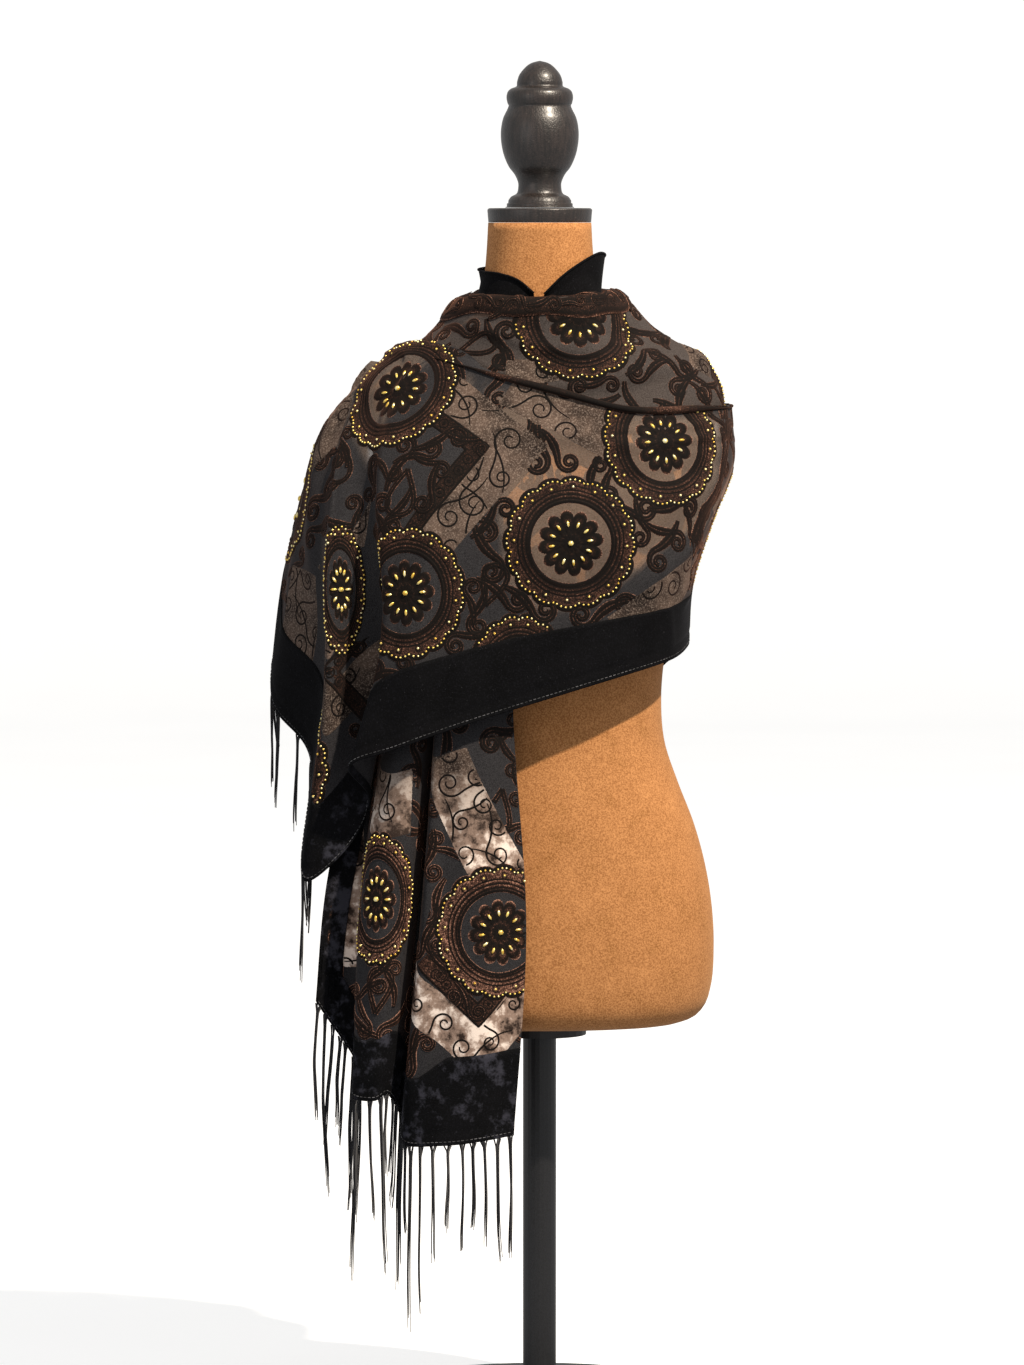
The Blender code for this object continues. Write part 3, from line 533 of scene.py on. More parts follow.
# %% Fold lines of the neck wrap and the hanging end
# Columns: tuck, slope, fold, rise, roll, inside
YOKE = {
    "left": ((-141, 6, 1015), (-132, 6, 1022), (-120, 6, 1030), (-103, 5, 1044), (-74, 3, 1074), (-64, 2, 1070)),
    "left_front": ((-110, -50, 1011), (-103, -48, 1020), (-94, -44, 1032),
        (-82, -40, 1048), (-66, -35, 1077), (-57, -30, 1071)),
    "chest_left": ((-66, -80, 992), (-60, -76, 1006), (-54, -70, 1026),
        (-50, -66, 1046), (-41, -59, 1078), (-36, -51, 1071)),
    "front": ((0, -88, 962), (0, -80, 998), (0, -74, 1024), (0, -73, 1044), (0, -68, 1076), (0, -58, 1070)),
    "chest_right": ((72, -84, 956), (66, -80, 992), (60, -76, 1022),
        (50, -70, 1040), (39, -61, 1079), (34, -52, 1071)),
    "right_front": ((142, -56, 956), (128, -52, 992), (112, -50, 1024),
        (84, -44, 1034), (60, -37, 1080), (52, -31, 1072)),
    "right": ((176, 4, 962), (173, 2, 994), (151, 2, 1020), (111, 1, 1045), (66, 0, 1080), (60, 0, 1072)),
    "right_back": ((144, 62, 968), (128, 62, 1000), (108, 60, 1024), (84, 52, 1044), (62, 38, 1082), (54, 33, 1074)),
    "blade_right": ((78, 86, 982), (68, 82, 1012), (58, 78, 1036), (50, 79, 1056), (41, 66, 1085), (36, 58, 1077)),
    "back": ((0, 91, 1004), (0, 86, 1024), (0, 81, 1044), (0, 77, 1062), (0, 71, 1087), (0, 64, 1079)),
    "blade_left": ((-76, 79, 1000), (-66, 76, 1015), (-58, 74, 1034),
        (-52, 74, 1054), (-42, 64, 1084), (-37, 56, 1076)),
    "left_back": ((-122, 50, 1000), (-110, 50, 1014), (-96, 48, 1026),
        (-84, 44, 1046), (-66, 36, 1078), (-57, 31, 1072)),
}
# Columns: shoulder, bust, waist, under the hem, thigh, edge
TAIL = {
    "right_edge": ((-46, -92, 968), (-36, -126, 880), (-28, -114, 770),
        (-25, -116, 672), (-13, -122, 480), (-25, -120, 282)),
    "right_panel": ((-56, -90, 969), (-52, -125, 880), (-50, -118, 770),
        (-52, -124, 672), (-48, -132, 480), (-58, -131, 277)),
    "panel_left": ((-68, -87, 970), (-72, -121, 880), (-76, -119, 770),
        (-84, -125, 672), (-92, -132, 480), (-98, -132, 273)),
    "panel_fold": ((-78, -84, 972), (-86, -117, 880), (-92, -118, 770),
        (-98, -123, 672), (-110, -128, 490), (-126, -119, 272)),
    "deep_valley": ((-88, -78, 973), (-94, -109, 880), (-98, -106, 770),
        (-100, -96, 672), (-114, -84, 490), (-133, -85, 297)),
    "left_fold_in": ((-98, -76, 975), (-104, -108, 880), (-106, -109, 770),
        (-114, -118, 672), (-128, -117, 480), (-146, -109, 320)),
    "left_fold": ((-108, -70, 976), (-120, -101, 880), (-122, -104, 770),
        (-134, -114, 672), (-152, -122, 480), (-158, -115, 314)),
    "left_fold_out": ((-117, -65, 977), (-130, -96, 880), (-130, -93, 770),
        (-144, -98, 672), (-171, -108, 480), (-177, -104, 316)),
    "left_valley": ((-124, -59, 978), (-134, -87, 880), (-136, -82, 770),
        (-149, -82, 672), (-170, -72, 480), (-172, -72, 336)),
    "outer_edge": ((-132, -53, 978), (-144, -84, 880), (-148, -74, 770),
        (-170, -70, 672), (-206, -72, 500), (-214, -74, 405)),
}

# %% [markdown]
# ## Creases
#
# Between the fold lines the cloth has softer creases. Each is a ridge or a furrow with a start, an
# end, a height and a half width, raised along the sheet's normal and fading out at both ends. The
# first rows of each table are the solids' own, and the rest are finer ones that only the look needs.

# %% Crease tables
# Columns: start across, start down, end across, end down, as parts of the sheet; height, half width
FRONT_FOLDS = (
    (0.02, 0.10, 0.34, 0.16, 3.5, 11), (0.02, 0.20, 0.28, 0.30, -2.5, 13), (0.00, 0.42, 0.20, 0.70, 3.0, 16),
    (0.10, 0.38, 0.34, 0.78, -2.5, 17), (0.36, 0.12, 0.30, 0.62, 3.0, 15), (0.40, 0.25, 0.45, 0.90, 3.5, 12),
    (0.72, 0.10, 0.69, 0.70, 5.0, 15), (0.78, 0.20, 0.76, 0.90, -4.0, 15), (0.86, 0.15, 0.86, 0.90, 4.5, 16),
    (0.01, 0.04, 0.24, 0.09, 2.2, 5), (0.00, 0.12, 0.16, 0.15, -1.6, 5), (0.03, 0.30, 0.12, 0.60, 1.6, 6),
    (0.15, 0.60, 0.11, 0.96, 1.5, 7), (0.01, 0.70, 0.09, 0.80, 1.6, 5), (0.33, 0.72, 0.45, 0.76, -1.2, 8),
    (0.47, 0.10, 0.50, 0.46, 1.8, 7), (0.55, 0.30, 0.53, 0.80, -1.8, 7), (0.63, 0.08, 0.61, 0.50, 2.0, 7),
)
BACK_FOLDS = (
    (0.90, 0.15, 0.45, 0.80, 5.0, 18), (0.95, 0.45, 0.65, 0.95, -4.0, 16), (0.70, 0.12, 0.28, 0.62, -4.0, 17),
    (0.48, 0.10, 0.14, 0.45, 4.5, 15),
    (0.86, 0.08, 0.55, 0.30, 2.0, 8), (0.60, 0.42, 0.38, 0.86, 2.0, 9), (0.30, 0.70, 0.22, 0.98, 1.8, 8),
    (0.97, 0.20, 0.92, 0.75, 1.6, 7),
)
YOKE_FOLDS = (
    (0.30, 0.30, 0.58, 0.34, 4.0, 9), (0.08, 0.55, 0.34, 0.52, 3.0, 8), (0.66, 0.40, 0.92, 0.45, 3.5, 10),
)
YOKE_CREASES = (
    (0.30, 0.52, 0.50, 0.49, -1.6, 4), (0.12, 0.22, 0.33, 0.27, 1.6, 5), (0.45, 0.62, 0.52, 0.30, 1.5, 5),
    (0.72, 0.60, 0.90, 0.62, -1.8, 5), (0.60, 0.25, 0.80, 0.22, 1.6, 6),
)
TAIL_FOLDS = (
    (0.10, 0.55, 0.14, 0.98, 3.0, 12), (0.28, 0.50, 0.24, 0.98, -3.0, 12),
    (0.20, 0.44, 0.18, 0.70, 1.5, 6), (0.05, 0.60, 0.06, 0.90, -1.2, 6), (0.60, 0.48, 0.62, 0.74, 1.6, 7),
    (0.80, 0.52, 0.84, 0.90, 2.0, 8), (0.72, 0.66, 0.70, 0.96, -1.6, 6), (0.36, 0.74, 0.34, 0.98, 1.8, 6),
)
FOLD_MARGIN = 0.07      # part of a sheet's width, at each side, where its creases die out


def creased(grid, folds):
    """The grid with each crease of the table raised on it, fading out towards its ends."""
    columns, rows = grid.shape[:2]
    width = np.linalg.norm(np.diff(grid, axis=0), axis=2).sum(axis=0).mean()
    height = np.linalg.norm(np.diff(grid, axis=1), axis=2).sum(axis=1).mean()
    across, down = np.meshgrid(np.linspace(0, width, columns), np.linspace(0, height, rows), indexing="ij")
    lift = np.zeros((columns, rows))
    for start, top, end, bottom, raised, spread in folds:
        run = np.array([(end - start) * width, (bottom - top) * height])
        length = np.linalg.norm(run)
        ahead = ((across - start * width) * run[0] + (down - top * height) * run[1]) / length
        aside = ((across - start * width) * run[1] - (down - top * height) * run[0]) / length
        fade = ramp(ahead / length, -0.12, 0.3) * ramp(1 - ahead / length, -0.12, 0.3)
        lift += raised * MM * fade * np.exp(-((aside / (spread * MM)) ** 2))
        lift *= ramp(across / width, 0, FOLD_MARGIN) * ramp(1 - across / width, 0, FOLD_MARGIN)
    return grid + outward(grid) * lift[..., None]

# %% [markdown]
# ## Winding the stretches
#
# They go on in the order in which the shawl is wound: the neck wrap on the form, the hanging end over
# it, then the wrap. Each is pushed out wherever it would lie in the one below. A lower layer's edge
# would show as a hard step, so the push is spread a little way to the points around it, as the cloth's
# own stiffness does.

# %% Laying and rolling
SKIN_GAP, WRAP_SKIN_GAP, LAYER_GAP, YOKE_GAP, BACK_GAP = 0.0058, 0.0066, 0.0048, 0.0056, 0.0080
PUSH_SPREAD = 3      # how many points a push spreads to


def pushed(grid, under, gap, part=None):
    """The grid laid over the surface under it, with the push spread softly to the points around."""
    laid = lay_over(grid, under, gap, part)
    push = laid - grid
    size = np.linalg.norm(push, axis=2, keepdims=True)
    for _ in range(PUSH_SPREAD):
        soft = push.copy()
        for axis in (0, 1):
            near = np.moveaxis(soft, axis, 0)
            near[1:-1] = (near[:-2] + 2 * near[1:-1] + near[2:]) / 4
        grown = np.linalg.norm(soft, axis=2, keepdims=True)
        push = np.where(grown > size, soft, push)
        size = np.maximum(size, grown)
    return grid + push


ROLL, UNROLLED, ROLLED = 0.0070, -0.09, -0.03
ROLL_COLUMNS = ("inwards", "spare", "downwards", "onwards")
ROLL_ROWS = ((1, 2, 1.4, 3), (1, 0, 0.2, 2), (0.5, 0, -0.35, 1))
ROLL_STEPS = 10


def tucked_under(grid, inward, rolled):
    """The grid with its top edge turned in and down where rolled is 1, and run straight on where it is 0."""
    top = grid[:, 0]
    down = grid[:, 1] - top
    down /= np.linalg.norm(down, axis=1, keepdims=True)
    level = np.stack([-top[:, 0], -top[:, 1], np.zeros(len(top))], axis=1)
    level /= np.linalg.norm(level, axis=1, keepdims=True)
    rolled = rolled[:, None]
    rows = []
    for inwards, spare, downwards, onwards in ROLL_ROWS:
        level_part = level * (inwards * rolled ** 0.25 + spare * rolled * (1 - rolled))
        down_part = down * (downwards * rolled - onwards * 0.8 * (1 - rolled))
        rows.append(top + inward * (level_part + down_part))
    fine = smooth(rows + [top], range(len(rows) + 1), np.linspace(0, len(rows), ROLL_STEPS))
    return np.concatenate([fine[:-1].transpose(1, 0, 2), grid], axis=1)


EDGE_STEPS, CARRY_ROWS, SEAM_GAP = 600, 6, 0.0007


def carried_to(grid, edge, gap):
    """The grid with more rows on top, which bring its upper edge to another cloth's edge."""
    fine = evenly(np.concatenate([edge, edge[:1]]), EDGE_STEPS)
    near = np.array([fine[np.argmin(np.linalg.norm(fine - point, axis=1))] for point in grid[:, 0]])
    away = grid[:, 0] - near
    upper = near + away / np.linalg.norm(away, axis=1, keepdims=True) * gap
    parts = np.arange(CARRY_ROWS)[None, :, None] / CARRY_ROWS
    return np.concatenate([upper[:, None] * (1 - parts) + grid[:, :1] * parts, grid], axis=1)

# %% The neck wrap and the hanging end
YOKE_SIZE, TAIL_SIZE, WRAP_SIZE = (240, 44), (120, 230), (450, 100)     # columns and rows

yoke_grid = pushed(creased(draped(YOKE, *YOKE_SIZE, closed=True), YOKE_FOLDS + YOKE_CREASES), form_tree, SKIN_GAP)
yoke_tree = surface(yoke_grid, closed=True)
tail_grid = creased(draped(TAIL, *TAIL_SIZE), TAIL_FOLDS)
tail_grid = pushed(pushed(tail_grid, form_tree, SKIN_GAP), yoke_tree, LAYER_GAP)
tail_grid = pushed(carried_to(tail_grid, yoke_grid[:, 0], SEAM_GAP), form_tree, SKIN_GAP)
tail_tree = surface(tail_grid)
print("neck wrap", yoke_grid.shape[:2], "hanging end", tail_grid.shape[:2])

# %% The wrap
wrap_grid = draped(WRAP, *WRAP_SIZE)
side = int(np.argmax(wrap_grid[:, 0, 0]))
back_part, front_part = creased(wrap_grid[: side + 1], BACK_FOLDS), creased(wrap_grid[side:], FRONT_FOLDS)
wrap_grid = np.concatenate([back_part, front_part[1:]])
wrap_grid = tucked_under(wrap_grid, ROLL, ramp(wrap_grid[:, 0, 0], UNROLLED, ROLLED))
wrap_grid = pushed(pushed(wrap_grid, form_tree, WRAP_SKIN_GAP), yoke_tree, YOKE_GAP)
in_front = np.zeros(wrap_grid.shape[:2], bool)
in_front[side:] = True
wrap_grid = pushed(wrap_grid, tail_tree, LAYER_GAP, in_front)
back_tree = surface(wrap_grid[: side + 1])
wrap_grid = pushed(wrap_grid, back_tree, BACK_GAP, in_front & (wrap_grid[..., 0] < 0))
print("wrap", wrap_grid.shape[:2], "right side at column", side)

# %% [markdown]
# ## The devoré cloth
#
# Burnt-out velvet is two cloths in one: a fine see-through ground, and silk or viscose pile that is
# left only where it wasn't printed with acid. So the sheet itself is the ground. Where a plain panel
# of pile is left, such as the taupe chevrons, its edge is straight, and the signed distance to that
# edge, stored at every point, gives the shader a crisp outline. The raised motifs come later, as
# pile of their own height.

# %% Devoré materials
NAP_SIZE, BRUSH_SIZE, STROKE_SIZE = 1.5, 38, 26      # millimetres
THREAD = 0.7                     # the real thread is 0.3, too fine to show
# Lower down the pile is painted paler: a painted sheen of nap stroked the other way.
SHEEN_BY_HEIGHT = (-11.0, 7.1)        # slope and start, by height, of the part stroked the other way
SEE_THROUGH = 0.62               # where the ground lies close over the bare form


def pile_colour(tree, place, dark, light, bright):
    """A velvet pile's colour: brushed patches, lighter and darker tufts, and painted sparkle on the palest tips."""
    brush = add(tree, "TexNoise", Vector=place, Scale=1 / (BRUSH_SIZE * MM), Detail=3, Roughness=0.6)
    nap = add(tree, "TexNoise", Vector=place, Scale=1 / (NAP_SIZE * MM), Detail=2, Roughness=0.7)
    base = add(tree, "ValToRGB", stops=((0.3, dark), (0.7, light)), Fac=brush)
    nap_tips_with_sparkle = add(tree, "ValToRGB", stops=((0.45, "#000000"), (0.8, "#B0B0B0")), Fac=nap)
    return add(tree, "Mix", BLEND, out=2, n_0=nap_tips_with_sparkle, n_6=base, n_7=bright), nap


def painted_nap_sheen(tree, place):
    """From 0 high up to 1 low down, where the nap was stroked the other way: a painted sheen."""
    height = add(tree, "SeparateXYZ", out="Z", Vector=place)
    return add(tree, "Math", {**TIMES_PLUS, "use_clamp": True}, n_0=height, n_1=SHEEN_BY_HEIGHT[0], n_2=SHEEN_BY_HEIGHT[1])


devore, tree, shader = new_material("devore_velvet", Roughness=0.88, Sheen_Weight=0.22, Sheen_Roughness=0.35,
                                    Sheen_Tint="#B08A78", Specular_IOR_Level=0.15)
place = add(tree, "TexCoord", out="Object")
taupe = add(tree, "Attribute", {"attribute_name": "taupe"}, out="Fac")      # pile is left where it is above 0
see = add(tree, "Attribute", {"attribute_name": "sheer"}, out="Fac")
uneven = add(tree, "TexNoise", Vector=place, Scale=1 / (1.6 * MM), Detail=2)
ragged = add(tree, "Math", TIMES_PLUS, n_0=uneven, n_1=1.6 * MM, n_2=-0.8 * MM)
within = add(tree, "Math", PLUS, n_0=taupe, n_1=ragged)
is_pile = add(tree, "Math", {"operation": "GREATER_THAN"}, n_0=within, n_1=0.0)

colour, nap = pile_colour(tree, place, "#1B1411", "#57483F", "#BBA799")
# Low down, the brushed strokes run up to near white: painted sheen of the nap stroked the other way.
strokes = add(tree, "TexNoise", Vector=place, Scale=1 / (STROKE_SIZE * MM), Detail=5, Roughness=0.65)
brushed = add(tree, "ValToRGB", stops=((0.39, "#2C211C"), (0.49, "#8E786B"), (0.60, "#E8D8CC")), Fac=strokes)
colour = add(tree, "Mix", BLEND, out=2, n_0=painted_nap_sheen(tree, place), n_6=colour, n_7=brushed)

weave = add(tree, "TexNoise", Vector=place, Scale=1 / (THREAD * MM), Detail=1)
# Painted shade: the ground over other cloth is darker.
doubled = add(tree, "ValToRGB", stops=((0.3, "#181719"), (0.7, "#343335")), Fac=weave)
# Painted light: the ground over the bare form is paler and warmer, as the lit suede would show through it.
single = add(tree, "ValToRGB", stops=((0.3, "#6A5D54"), (0.7, "#A08D80")), Fac=weave)
ground = add(tree, "Mix", BLEND, out=2, n_0=see, n_6=doubled, n_7=single)
alpha = add(tree, "Math", TIMES_PLUS, n_0=see, n_1=-SEE_THROUGH, n_2=1.0)
height = add(tree, "Math", TIMES_PLUS, n_0=is_pile, n_1=1.2, n_2=add(tree, "Math", TIMES, n_0=nap, n_1=0.6))
fill(tree, shader, Base_Color=add(tree, "Mix", BLEND, out=2, n_0=is_pile, n_6=ground, n_7=colour),
     Alpha=add(tree, "Math", {"operation": "MAXIMUM"}, n_0=alpha, n_1=is_pile),
     Normal=add(tree, "Bump", Height=height, Strength=0.5, Distance=0.5 * MM))

# %% Black velvet of the borders
black_velvet, tree, shader = new_material("black_silk_velvet", Roughness=0.9, Sheen_Weight=0.12,
                                          Sheen_Roughness=0.35, Sheen_Tint="#6E6E78", Specular_IOR_Level=0.1)
place = add(tree, "TexCoord", out="Object")
colour, nap = pile_colour(tree, place, "#020203", "#08080A", "#1E1E24")
# Painted shine: pale strokes low down, where the nap was stroked the other way.
strokes = add(tree, "TexNoise", Vector=place, Scale=1 / (20 * MM), Detail=5, Roughness=0.7)
painted_shine = add(tree, "ValToRGB", stops=((0.5, "#000000"), (0.66, "#FFFFFF")), Fac=strokes)
painted_shine = add(tree, "Math", TIMES, n_0=painted_shine, n_1=painted_nap_sheen(tree, place))
colour = add(tree, "Mix", BLEND, out=2, n_0=painted_shine, n_6=colour, n_7="#33333B")
specks = add(tree, "TexNoise", Vector=place, Scale=1 / (2.2 * MM), Detail=4, Roughness=0.9)
lint = add(tree, "ValToRGB", stops=((0.66, "#000000"), (0.70, "#FFFFFF")), ease=False, Fac=specks)
lint = add(tree, "Math", TIMES, n_0=lint, n_1=0.3)
fill(tree, shader, Base_Color=add(tree, "Mix", BLEND, out=2, n_0=lint, n_6=colour, n_7="#8A8A90"),
     Normal=add(tree, "Bump", Height=nap, Strength=0.5, Distance=0.4 * MM))

# %% [markdown]
# ## Laying flat motifs on folded cloth
#
# A motif is flat until the cloth is draped. So that folds don't stretch it, each of its points is
# walked over the surface: from the motif's middle, in the point's own direction, straight on, until it
# has gone the point's own distance. A straight walk on a curved surface is a geodesic, and this way of
# carrying a drawing to a surface is its exponential map.

# %% Walking over a sheet
WALK_STEP = 0.0025
# For each side that the form is seen from: the axis that runs sideways, and the way towards the eye
SIDES = {"front": (0, (0, -1)), "back": (0, (0, 1)), "left": (1, (-1, 0)), "right": (1, (1, 0))}


def dot(a, b):
    """Products of two rows of vectors, summed."""
    return (a * b).sum(axis=-1)


def unit(rows):
    """The same vectors with length 1."""
    return rows / np.maximum(np.linalg.norm(rows, axis=-1, keepdims=True), 1e-12)


class Cloth:
    """A sheet's grid of points, with what is needed to find places on it and to walk over it.

    A spot is a column and a row, both with fractions.
    """

    def __init__(self, grid, closed=False):
        self.closed, self.columns, self.rows = closed, *grid.shape[:2]
        ringed = np.concatenate([grid[-1:], grid, grid[:1]])
        across = np.gradient(ringed, axis=0)[1:-1] if closed else np.gradient(grid, axis=0)
        self.grid = grid
        self.fields = np.concatenate([grid, across, np.gradient(grid, axis=1)], axis=2)
        self.normals = unit(np.cross(across, self.fields[..., 6:9]))
        step = np.linalg.norm(np.diff(grid, axis=1), axis=2)
        from_hem = np.cumsum(step[:, ::-1], axis=1)[:, ::-1]
        self.from_hem = np.concatenate([from_hem, np.zeros((self.columns, 1))], axis=1)
        middle = along(grid[:, self.rows // 2])
        self.flat = np.stack([np.broadcast_to(middle[:, None], grid.shape[:2]), self.from_hem], axis=-1)

    def read(self, spots, field=None):
        """Values of a field at the spots: place, step across and step down where none is named."""
        field = self.fields if field is None else field
        i = spots[..., 0] if self.closed else np.clip(spots[..., 0], 0, self.columns - 1.001)
        k = np.clip(spots[..., 1], 0, self.rows - 1.001)
        left, top = np.floor(i).astype(int), np.floor(k).astype(int)
        a, b = (i - left)[..., None], (k - top)[..., None]
        left, right = left % self.columns, (left + 1) % self.columns
        return ((field[left, top] * (1 - a) + field[right, top] * a) * (1 - b)
                + (field[left, top + 1] * (1 - a) + field[right, top + 1] * a) * b)

    def inside(self, spots):
        """Which spots lie on the sheet."""
        on = (spots[..., 1] >= 0) & (spots[..., 1] <= self.rows - 1)
        return on if self.closed else on & (spots[..., 0] >= 0) & (spots[..., 0] <= self.columns - 1)

    def steps(self, spots):
        """Place, unit normal, and the two steps of the grid at the spots."""
        found = self.read(spots)
        across, down = found[..., 3:6], found[..., 6:9]
        return found[..., :3], unit(np.cross(across, down)), across, down

    def compass(self, spot):
        """The directions right and up on the sheet at a spot, for someone who looks straight at it."""
        normal = self.steps(spot)[1]
        up = unit(np.array([0, 0, 1.0]) - normal * normal[2])
        return np.cross(up, normal), up

    def in_steps(self, way, across, down):
        """A direction on the sheet as parts of the grid's two steps."""
        aa, ab, bb, p, q = dot(across, across), dot(across, down), dot(down, down), dot(across, way), dot(down, way)
        return np.stack([bb * p - ab * q, aa * q - ab * p], axis=-1) / (aa * bb - ab * ab)[..., None]

    def walk(self, start, flat):
        """The spots reached from the start by straight walks of each (right, up) in metres."""
        right, up = self.compass(start)
        reach = np.linalg.norm(flat, axis=-1)
        way = unit(flat[..., :1] * right + flat[..., 1:] * up)
        spots = np.broadcast_to(start, flat.shape).astype(float)
        count = max(1, math.ceil(reach.max() / WALK_STEP))
        for _ in range(count):
            _, normal, across, down = self.steps(spots)
            way = unit(way - normal * dot(way, normal)[..., None])
            spots = spots + (reach / count)[..., None] * self.in_steps(way, across, down)
        return spots

    def spot(self, seen, sideways, height):
        """The spot at a place, in millimetres, as it is seen from the front, back, left or right."""
        axis, facing = SIDES[seen]
        toward = self.grid[..., 0] * facing[0] + self.grid[..., 1] * facing[1]
        facing_us = self.normals[..., 0] * facing[0] + self.normals[..., 1] * facing[1]
        miss = np.hypot(self.grid[..., axis] - sideways * MM, self.grid[..., 2] - height * MM)
        miss = miss - 0.1 * toward + np.where(facing_us < 0.05, 1.0, 0.0)      # the nearer layer, facing us
        return np.array(np.unravel_index(np.argmin(miss), miss.shape), float)

    def around(self, spot, turn=0):
        """Every grid point's (right, up) from the spot, turned back by the degrees, on the flattened sheet."""
        _, _, across, down = self.steps(spot)
        right, up = self.compass(spot)
        grown = [np.gradient(self.flat, axis=axis) for axis in (0, 1)]
        turn = math.radians(turn)
        basis = []
        for way in (right * math.cos(turn) + up * math.sin(turn), up * math.cos(turn) - right * math.sin(turn)):
            parts = self.in_steps(way, across, down)
            basis.append(sum(part * self.read(spot, grow) for part, grow in zip(parts, grown)))
        away = self.flat - self.read(spot, self.flat)
        return away @ np.linalg.inv(np.array(basis))


yoke, tail, wrap = Cloth(yoke_grid, closed=True), Cloth(tail_grid), Cloth(wrap_grid)
print("wrap is", round(wrap.flat[-1, 0, 0], 3), "m long where it shows")

# %% [markdown]
# ## What is where in the pattern
#
# The repeat has big medallions in staggered rows, sheer fields with scrolls between them, and plain
# pile chevrons with a band of small rings along one side. Which part of the repeat lies where depends
# on the winding, so each stretch has its own list of places, seen from one side of the form.

# %% Medallions
# Columns: side seen from, sideways, height, turn, width, which is below 1 on gathered cloth
MEDALLIONS = {
    "wrap": (
        ("front", 28, 845, 8, 1), ("front", 118, 941, 3, 0.97), ("front", -136, 988, 0, 1),
        ("front", -126, 797, 5, 0.9), ("front", -188, 801, 0, 0.38), ("front", -20, 714, 0, 0.78),
        ("front", -226, 628, 0, 0.9), ("back", -75, 925, 0, 1), ("back", 52, 952, 8, 1), ("back", -45, 805, 5, 1),
        ("back", 82, 822, 0, 1), ("back", 50, 697, 0, 1), ("back", -70, 680, 4, 1),
        ("left", 30, 880, 0, 1), ("right", 40, 850, 0, 1),
    ),
    "tail": (("front", -38, 475, 6, 1), ("front", -156, 508, 0, 0.62)),
    "yoke": (
        ("front", 38, 1058, 0, 1), ("right", 52, 985, 0, 1), ("back", 60, 1040, 0, 1), ("back", -50, 1030, 0, 1),
    ),
}

# %% [markdown]
# ## Plain pile panels
#
# Each chevron is a corner with two straight arms. On the flattened sheet its inside is where three
# simple distances are all above 0, and the least of the three is the signed distance that the shader
# needs. The stretches of plain brown pile at the folds are stored the same way.

# %% Chevron fields
# Columns: side seen from, sideways, height, turn, inner and outer edge, length of the arms
CHEVRONS = {
    "wrap": (
        ("front", -60, 934, 9, 9, 45, 112), ("front", -200, 720, 182, 9, 46, 90),
        ("back", 10, 925, 0, 9, 50, 110), ("back", -100, 860, 180, 9, 48, 100), ("back", 140, 840, 30, 9, 46, 90),
        ("back", -60, 720, 90, -10, 34, 80), ("left", 0, 940, 0, 9, 46, 90), ("right", 20, 900, 90, 9, 44, 60),
    ),
    "tail": (("front", -58, 398, -88, 9, 46, 75),),
    "yoke": (
        ("right", 30, 1020, 60, 9, 36, 60), ("back", 5, 1030, 180, 9, 40, 60),
        ("left", 10, 1030, 0, 9, 40, 50),
    ),
}


# Columns: side seen from, sideways, height, heading, length and half the width
STRIPS = {
    "wrap": (
        ("front", -28, 994, -30, 108, 23), ("front", 74, 759, 36, 112, 20), ("front", -226, 815, -95, 150, 27),
    ),
    "tail": (
        ("front", -91, 644, -68, 124, 25), ("front", -142, 626, -90, 62, 24), ("front", -186, 590, -90, 150, 18),
    ),
    "yoke": (("front", -32, 1006, -6, 100, 12),),
}


def panel_field(cloth, rows, strips):
    """For each grid point, how far inside the nearest pile panel it lies, in metres, or less than 0."""
    field = np.full((cloth.columns, cloth.rows), -1.0)
    for seen, sideways, height, heading, length, half_width in strips:
        local = cloth.around(cloth.spot(seen, sideways, height), heading)
        ahead = np.minimum(local[..., 0], length * MM - local[..., 0])
        field = np.maximum(field, np.minimum(ahead, half_width * MM - np.abs(local[..., 1])))
    for seen, sideways, height, turn, inner, outer, arm in rows:
        local = cloth.around(cloth.spot(seen, sideways, height), turn - 45)
        ahead = local.max(axis=-1)
        within = np.minimum(ahead - inner * MM, outer * MM - ahead)
        field = np.maximum(field, np.minimum(within, local.min(axis=-1) + arm * MM))
    return field


INNER_DISC = 0.045      # inside this radius a medallion is always sheer, whatever panel it covers
cloths = {"wrap": wrap, "tail": tail, "yoke": yoke}
for key, cloth in cloths.items():
    cloth.centres = [cloth.spot(*row[:3]) for row in MEDALLIONS[key]]
    cloth.middles = np.array([cloth.steps(spot)[0] for spot in cloth.centres])
    away = np.linalg.norm(cloth.grid[:, :, None] - cloth.middles, axis=-1).min(axis=-1)
    cloth.taupe = np.minimum(panel_field(cloth, CHEVRONS[key], STRIPS[key]), away - INNER_DISC)
    print(key, "pile panels cover", round(100 * float((cloth.taupe > 0).mean())), "% of the sheet")

# %% Put the sheets in the scene
def sheer_field(cloth, under):
    """From 0 to 1, how far the sheet lies close over the bare form, so that the suede shows through it."""
    field = np.zeros((cloth.columns, cloth.rows))
    for i in range(cloth.columns):
        for k in range(cloth.rows):
            place, inwards = Vector(cloth.grid[i, k]), -Vector(cloth.normals[i, k])
            start = place + inwards * MM
            if any(layer.ray_cast(start, inwards, SEE_DEPTH)[0] is not None for layer in under):
                continue
            if form_tree.ray_cast(start, inwards, SEE_DEPTH)[0] is not None:
                field[i, k] = 1
    for _ in range(SEE_SOFT):
        field[1:-1, 1:-1] = (field[:-2, 1:-1] + field[2:, 1:-1] + field[1:-1, :-2] + field[1:-1, 2:]) / 4
    return field * ramp(np.abs(cloth.normals[..., 1]), *SEE_FACING)


